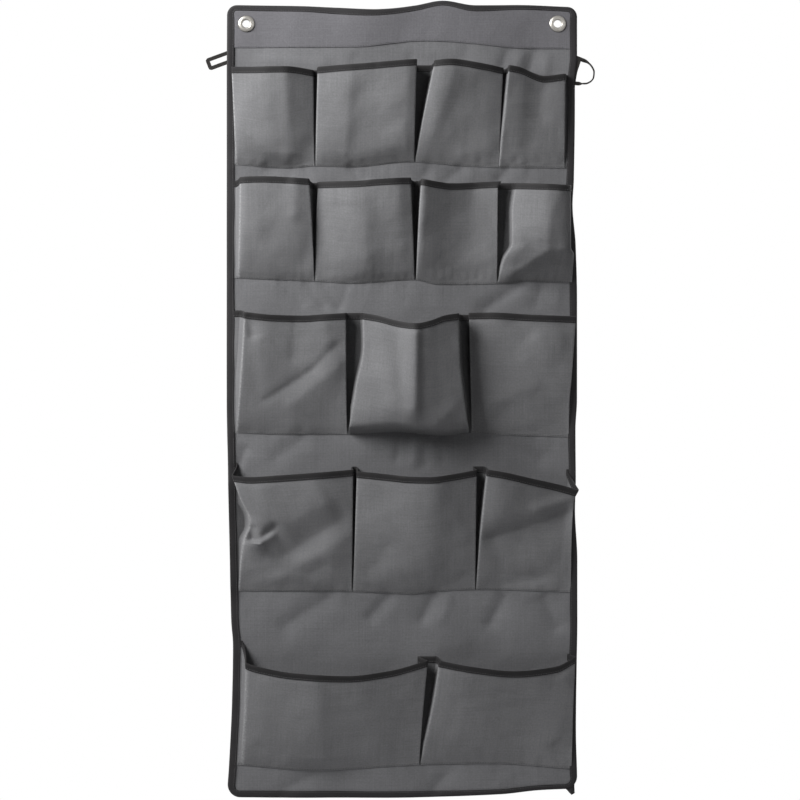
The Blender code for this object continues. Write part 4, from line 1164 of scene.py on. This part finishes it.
def right_loop():
    """A rounded loop whose tape turns edge-on between its roots."""
    at = np.linspace(0, len(RIGHT_LOOP_POINTS) - 1, 90)
    path = joined(*(through(enumerate(values), at, 1.0) for values in zip(*RIGHT_LOOP_POINTS)))
    path = resampled(path * MM, LOOP_STEP)
    along = lengths_along(path)
    share = along / along[-1]
    from_root = np.minimum(share / 0.24, (1 - share) / 0.14)
    lean = np.clip(1.25 - from_root, 0.0, 1.0)
    return ribbon("tape_loop_right", path, lean * lean * (3 - 2 * lean), DOUBLED_TAPE)


def loop_root():
    """The end of the right loop's tape, turned down flat along the panel's edge."""
    height, across = shares(24)[:, None], shares(7)
    z = (LOOP_ROOT_TOP - LOOP_ROOT_LENGTH * height) * MM
    inner = right_edge(z) - 1.6 * MM
    x = inner + (through(LOOP_ROOT_EDGE, z) - inner) * across
    z = z - 2.4 * MM * across * (1 - height)
    grid = joined(x, PANEL_Y - 0.0004 * across, z)[::-1]
    return sheet_piece(
        "tape_loop_right_root", grid, 0.0009, LOOP_TAPE_LOOK, grid[..., [2, 0]], 0.5 * across**6)


def binding_tail():
    """The edge tape's spare end, pressed flat, that sticks out past the lower right corner."""
    x = right_edge(LOW_RIGHT_Z) - BOTTOM_CORNER
    inner = arc(x, LOW_RIGHT_Z, BOTTOM_CORNER - 1.2 * MM, -86, -34)
    outer = [(x + right * MM, LOW_RIGHT_Z + up * MM) for right, up in TAIL_TIPS]
    rim = resampled(np.array([inner[0], *outer, inner[-1]]), 0.0006)
    base = resampled(inner, 0.0006)
    base = interpolated(shares(len(rim)), shares(len(base)), base)
    levels = shares(12)[:, None]
    x, z = (base * (1 - levels[..., None]) + rim * levels[..., None]).transpose(2, 0, 1)
    grid = joined(x, -0.0010 - 0.0006 * np.sin(x * 900) * levels, z)[:, ::-1]
    return sheet_piece("tape_tail", grid, 2 * TAPE, EDGE_TAPE_LOOK, grid[..., [0, 2]], levels**4 * 0.6)


loop_left = left_loop()
loop_right = right_loop()
loop_right_root = loop_root()
tail = binding_tail()


# How the pieces stand for the frame's nodes and move with its bodies

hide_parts("back_panel_upper", "back_panel_middle")
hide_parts("back_panel_lower")
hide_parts("header_facing")
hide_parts("edge_binding_upper", "edge_binding_middle_left", "edge_binding_middle_right")
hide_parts("edge_binding_lower")
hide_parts("binding_tail")
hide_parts("left_loop")
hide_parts("right_loop")
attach(facing, "upper_section")
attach(tail, "lower_section")
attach(loop_left, "left_side_loop")
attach(loop_right, "right_side_loop")
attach(loop_right_root, "right_side_loop")
for key, piece in metal.items():
    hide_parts(f"grommet_{key}")
    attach(piece, "upper_section")
for number, (strip_piece, tape_piece, _, _) in enumerate(rows):
    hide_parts(f"pocket_strip_{number + 1}")
    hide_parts(f"mouth_binding_{number + 1}")
    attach(strip_piece, ROWS[number].body)
    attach(tape_piece, ROWS[number].body)

for piece in (panel_upper, edge_tape_upper, thread_pieces[0]):
    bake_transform(piece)
for piece in (panel_lower, edge_tape_lower, thread_pieces[1]):
    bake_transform(piece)


# What each sheet was cut to before it was sewn and hung


PANEL_CUT_WIDTH, FACING_CUT_LENGTH, TOP_EDGE_SPOT = 0.435, 0.054, 0.05
top_edge(TOP_EDGE_SPOT) - SPLIT_Z


# Floor, light and camera

FLOOR_Z, FLOOR_RADIUS, FLOOR_SIDES = -1.20, 1.30, 96
WHITE = (1, 1, 1, 1)


def linked(name, data):
    """A new object in the scene."""
    made = bpy.data.objects.new(name, data)
    bpy.context.scene.collection.objects.link(made)
    return made


def floor():
    """A pale round floor that fades to white towards its rim."""
    mesh = bpy.data.meshes.new("floor")
    turns = np.arange(FLOOR_SIDES) * 2 * np.pi / FLOOR_SIDES
    rim = joined(FLOOR_RADIUS * np.cos(turns), FLOOR_RADIUS * np.sin(turns), FLOOR_Z)
    mesh.from_pydata(rim.tolist(), [], [list(range(FLOOR_SIDES))])
    graph = Graph(bpy.data.materials.new("floor"))
    mesh.materials.append(graph.owner)
    place = graph.node("TexCoord").outputs["Object"]
    x, y = graph.split(place)
    away = graph.math("SQRT", graph.math("ADD", graph.math("POWER", x, 2.0), graph.math("POWER", y, 2.0)))
    fade = graph.mapped(away, FLOOR_RADIUS * 0.5, FLOOR_RADIUS * 0.98, 0, 1)
    fade = graph.times(fade, graph.math("MULTIPLY_ADD", fade, -2.0, 3.0))
    fade = graph.times(fade, graph.math("MINIMUM", fade, 1.0))
    fade = graph.math("MINIMUM", fade, 1.0)
    tone = graph.mapped(graph.noise(place, (90, 90, 90)), 0.3, 0.7, 0.985, 1.0)
    graph.finished({"Base Color": graph.shade(tone, (0.70, 0.70, 0.71, 1)), "Roughness": 0.9})
    white = graph.node("Emission", {"Color": WHITE})
    seen = graph.node("LightPath").outputs["Is Camera Ray"]
    pale = graph.tree.nodes["Principled BSDF"].outputs[0]
    blend = graph.node("MixShader", (graph.times(fade, seen), pale, white.outputs[0]))
    graph.put(graph.tree.nodes["Material Output"].inputs["Surface"], blend.outputs[0])
    linked("floor", mesh)


def world(ambient):
    """White to the camera and in reflections, and a softer light on the object."""
    graph = Graph(bpy.data.worlds.new("studio"))
    bpy.context.scene.world = graph.owner
    rays = graph.node("LightPath")
    seen = rays.outputs["Is Camera Ray"]
    for kind in ("Is Glossy Ray", "Is Transmission Ray"):
        seen = graph.math("MAXIMUM", seen, rays.outputs[kind])
    background = graph.tree.nodes["Background"]
    graph.put(background.inputs["Color"], WHITE)
    graph.put(background.inputs["Strength"], graph.mapped(seen, 0, 1, ambient, 1))


def lamp(name, place, target, size, power):
    data = bpy.data.lights.new(name, "AREA")
    data.size = size
    data.energy = power
    made = linked(name, data)
    made.location = place
    made.rotation_euler = (Vector(target) - Vector(place)).to_track_quat("-Z", "Y").to_euler()


def camera():
    """Straight in front, with the object's height filling the frame as in the photograph."""
    data = bpy.data.cameras.new("camera")
    data.sensor_width = 36
    data.lens = 126
    made = linked("camera", data)
    made.location = (-0.0025, -3.5, -0.470)
    made.rotation_euler = (math.pi / 2, 0, 0)
    bpy.context.scene.camera = made


floor()
world(0.07)
lamp("key", (-1.28, -0.88, 0.66), (0, 0, 0.60), 1.1, 90)
lamp("fill", (0.90, -1.60, 0.10), (0, 0, -0.25), 0.9, 3)
lamp("back_light", (1.4, 1.0, 0.6), (0, 0, -0.5), 0.9, 34)
camera()
bpy.context.scene.view_settings.view_transform = "Standard"
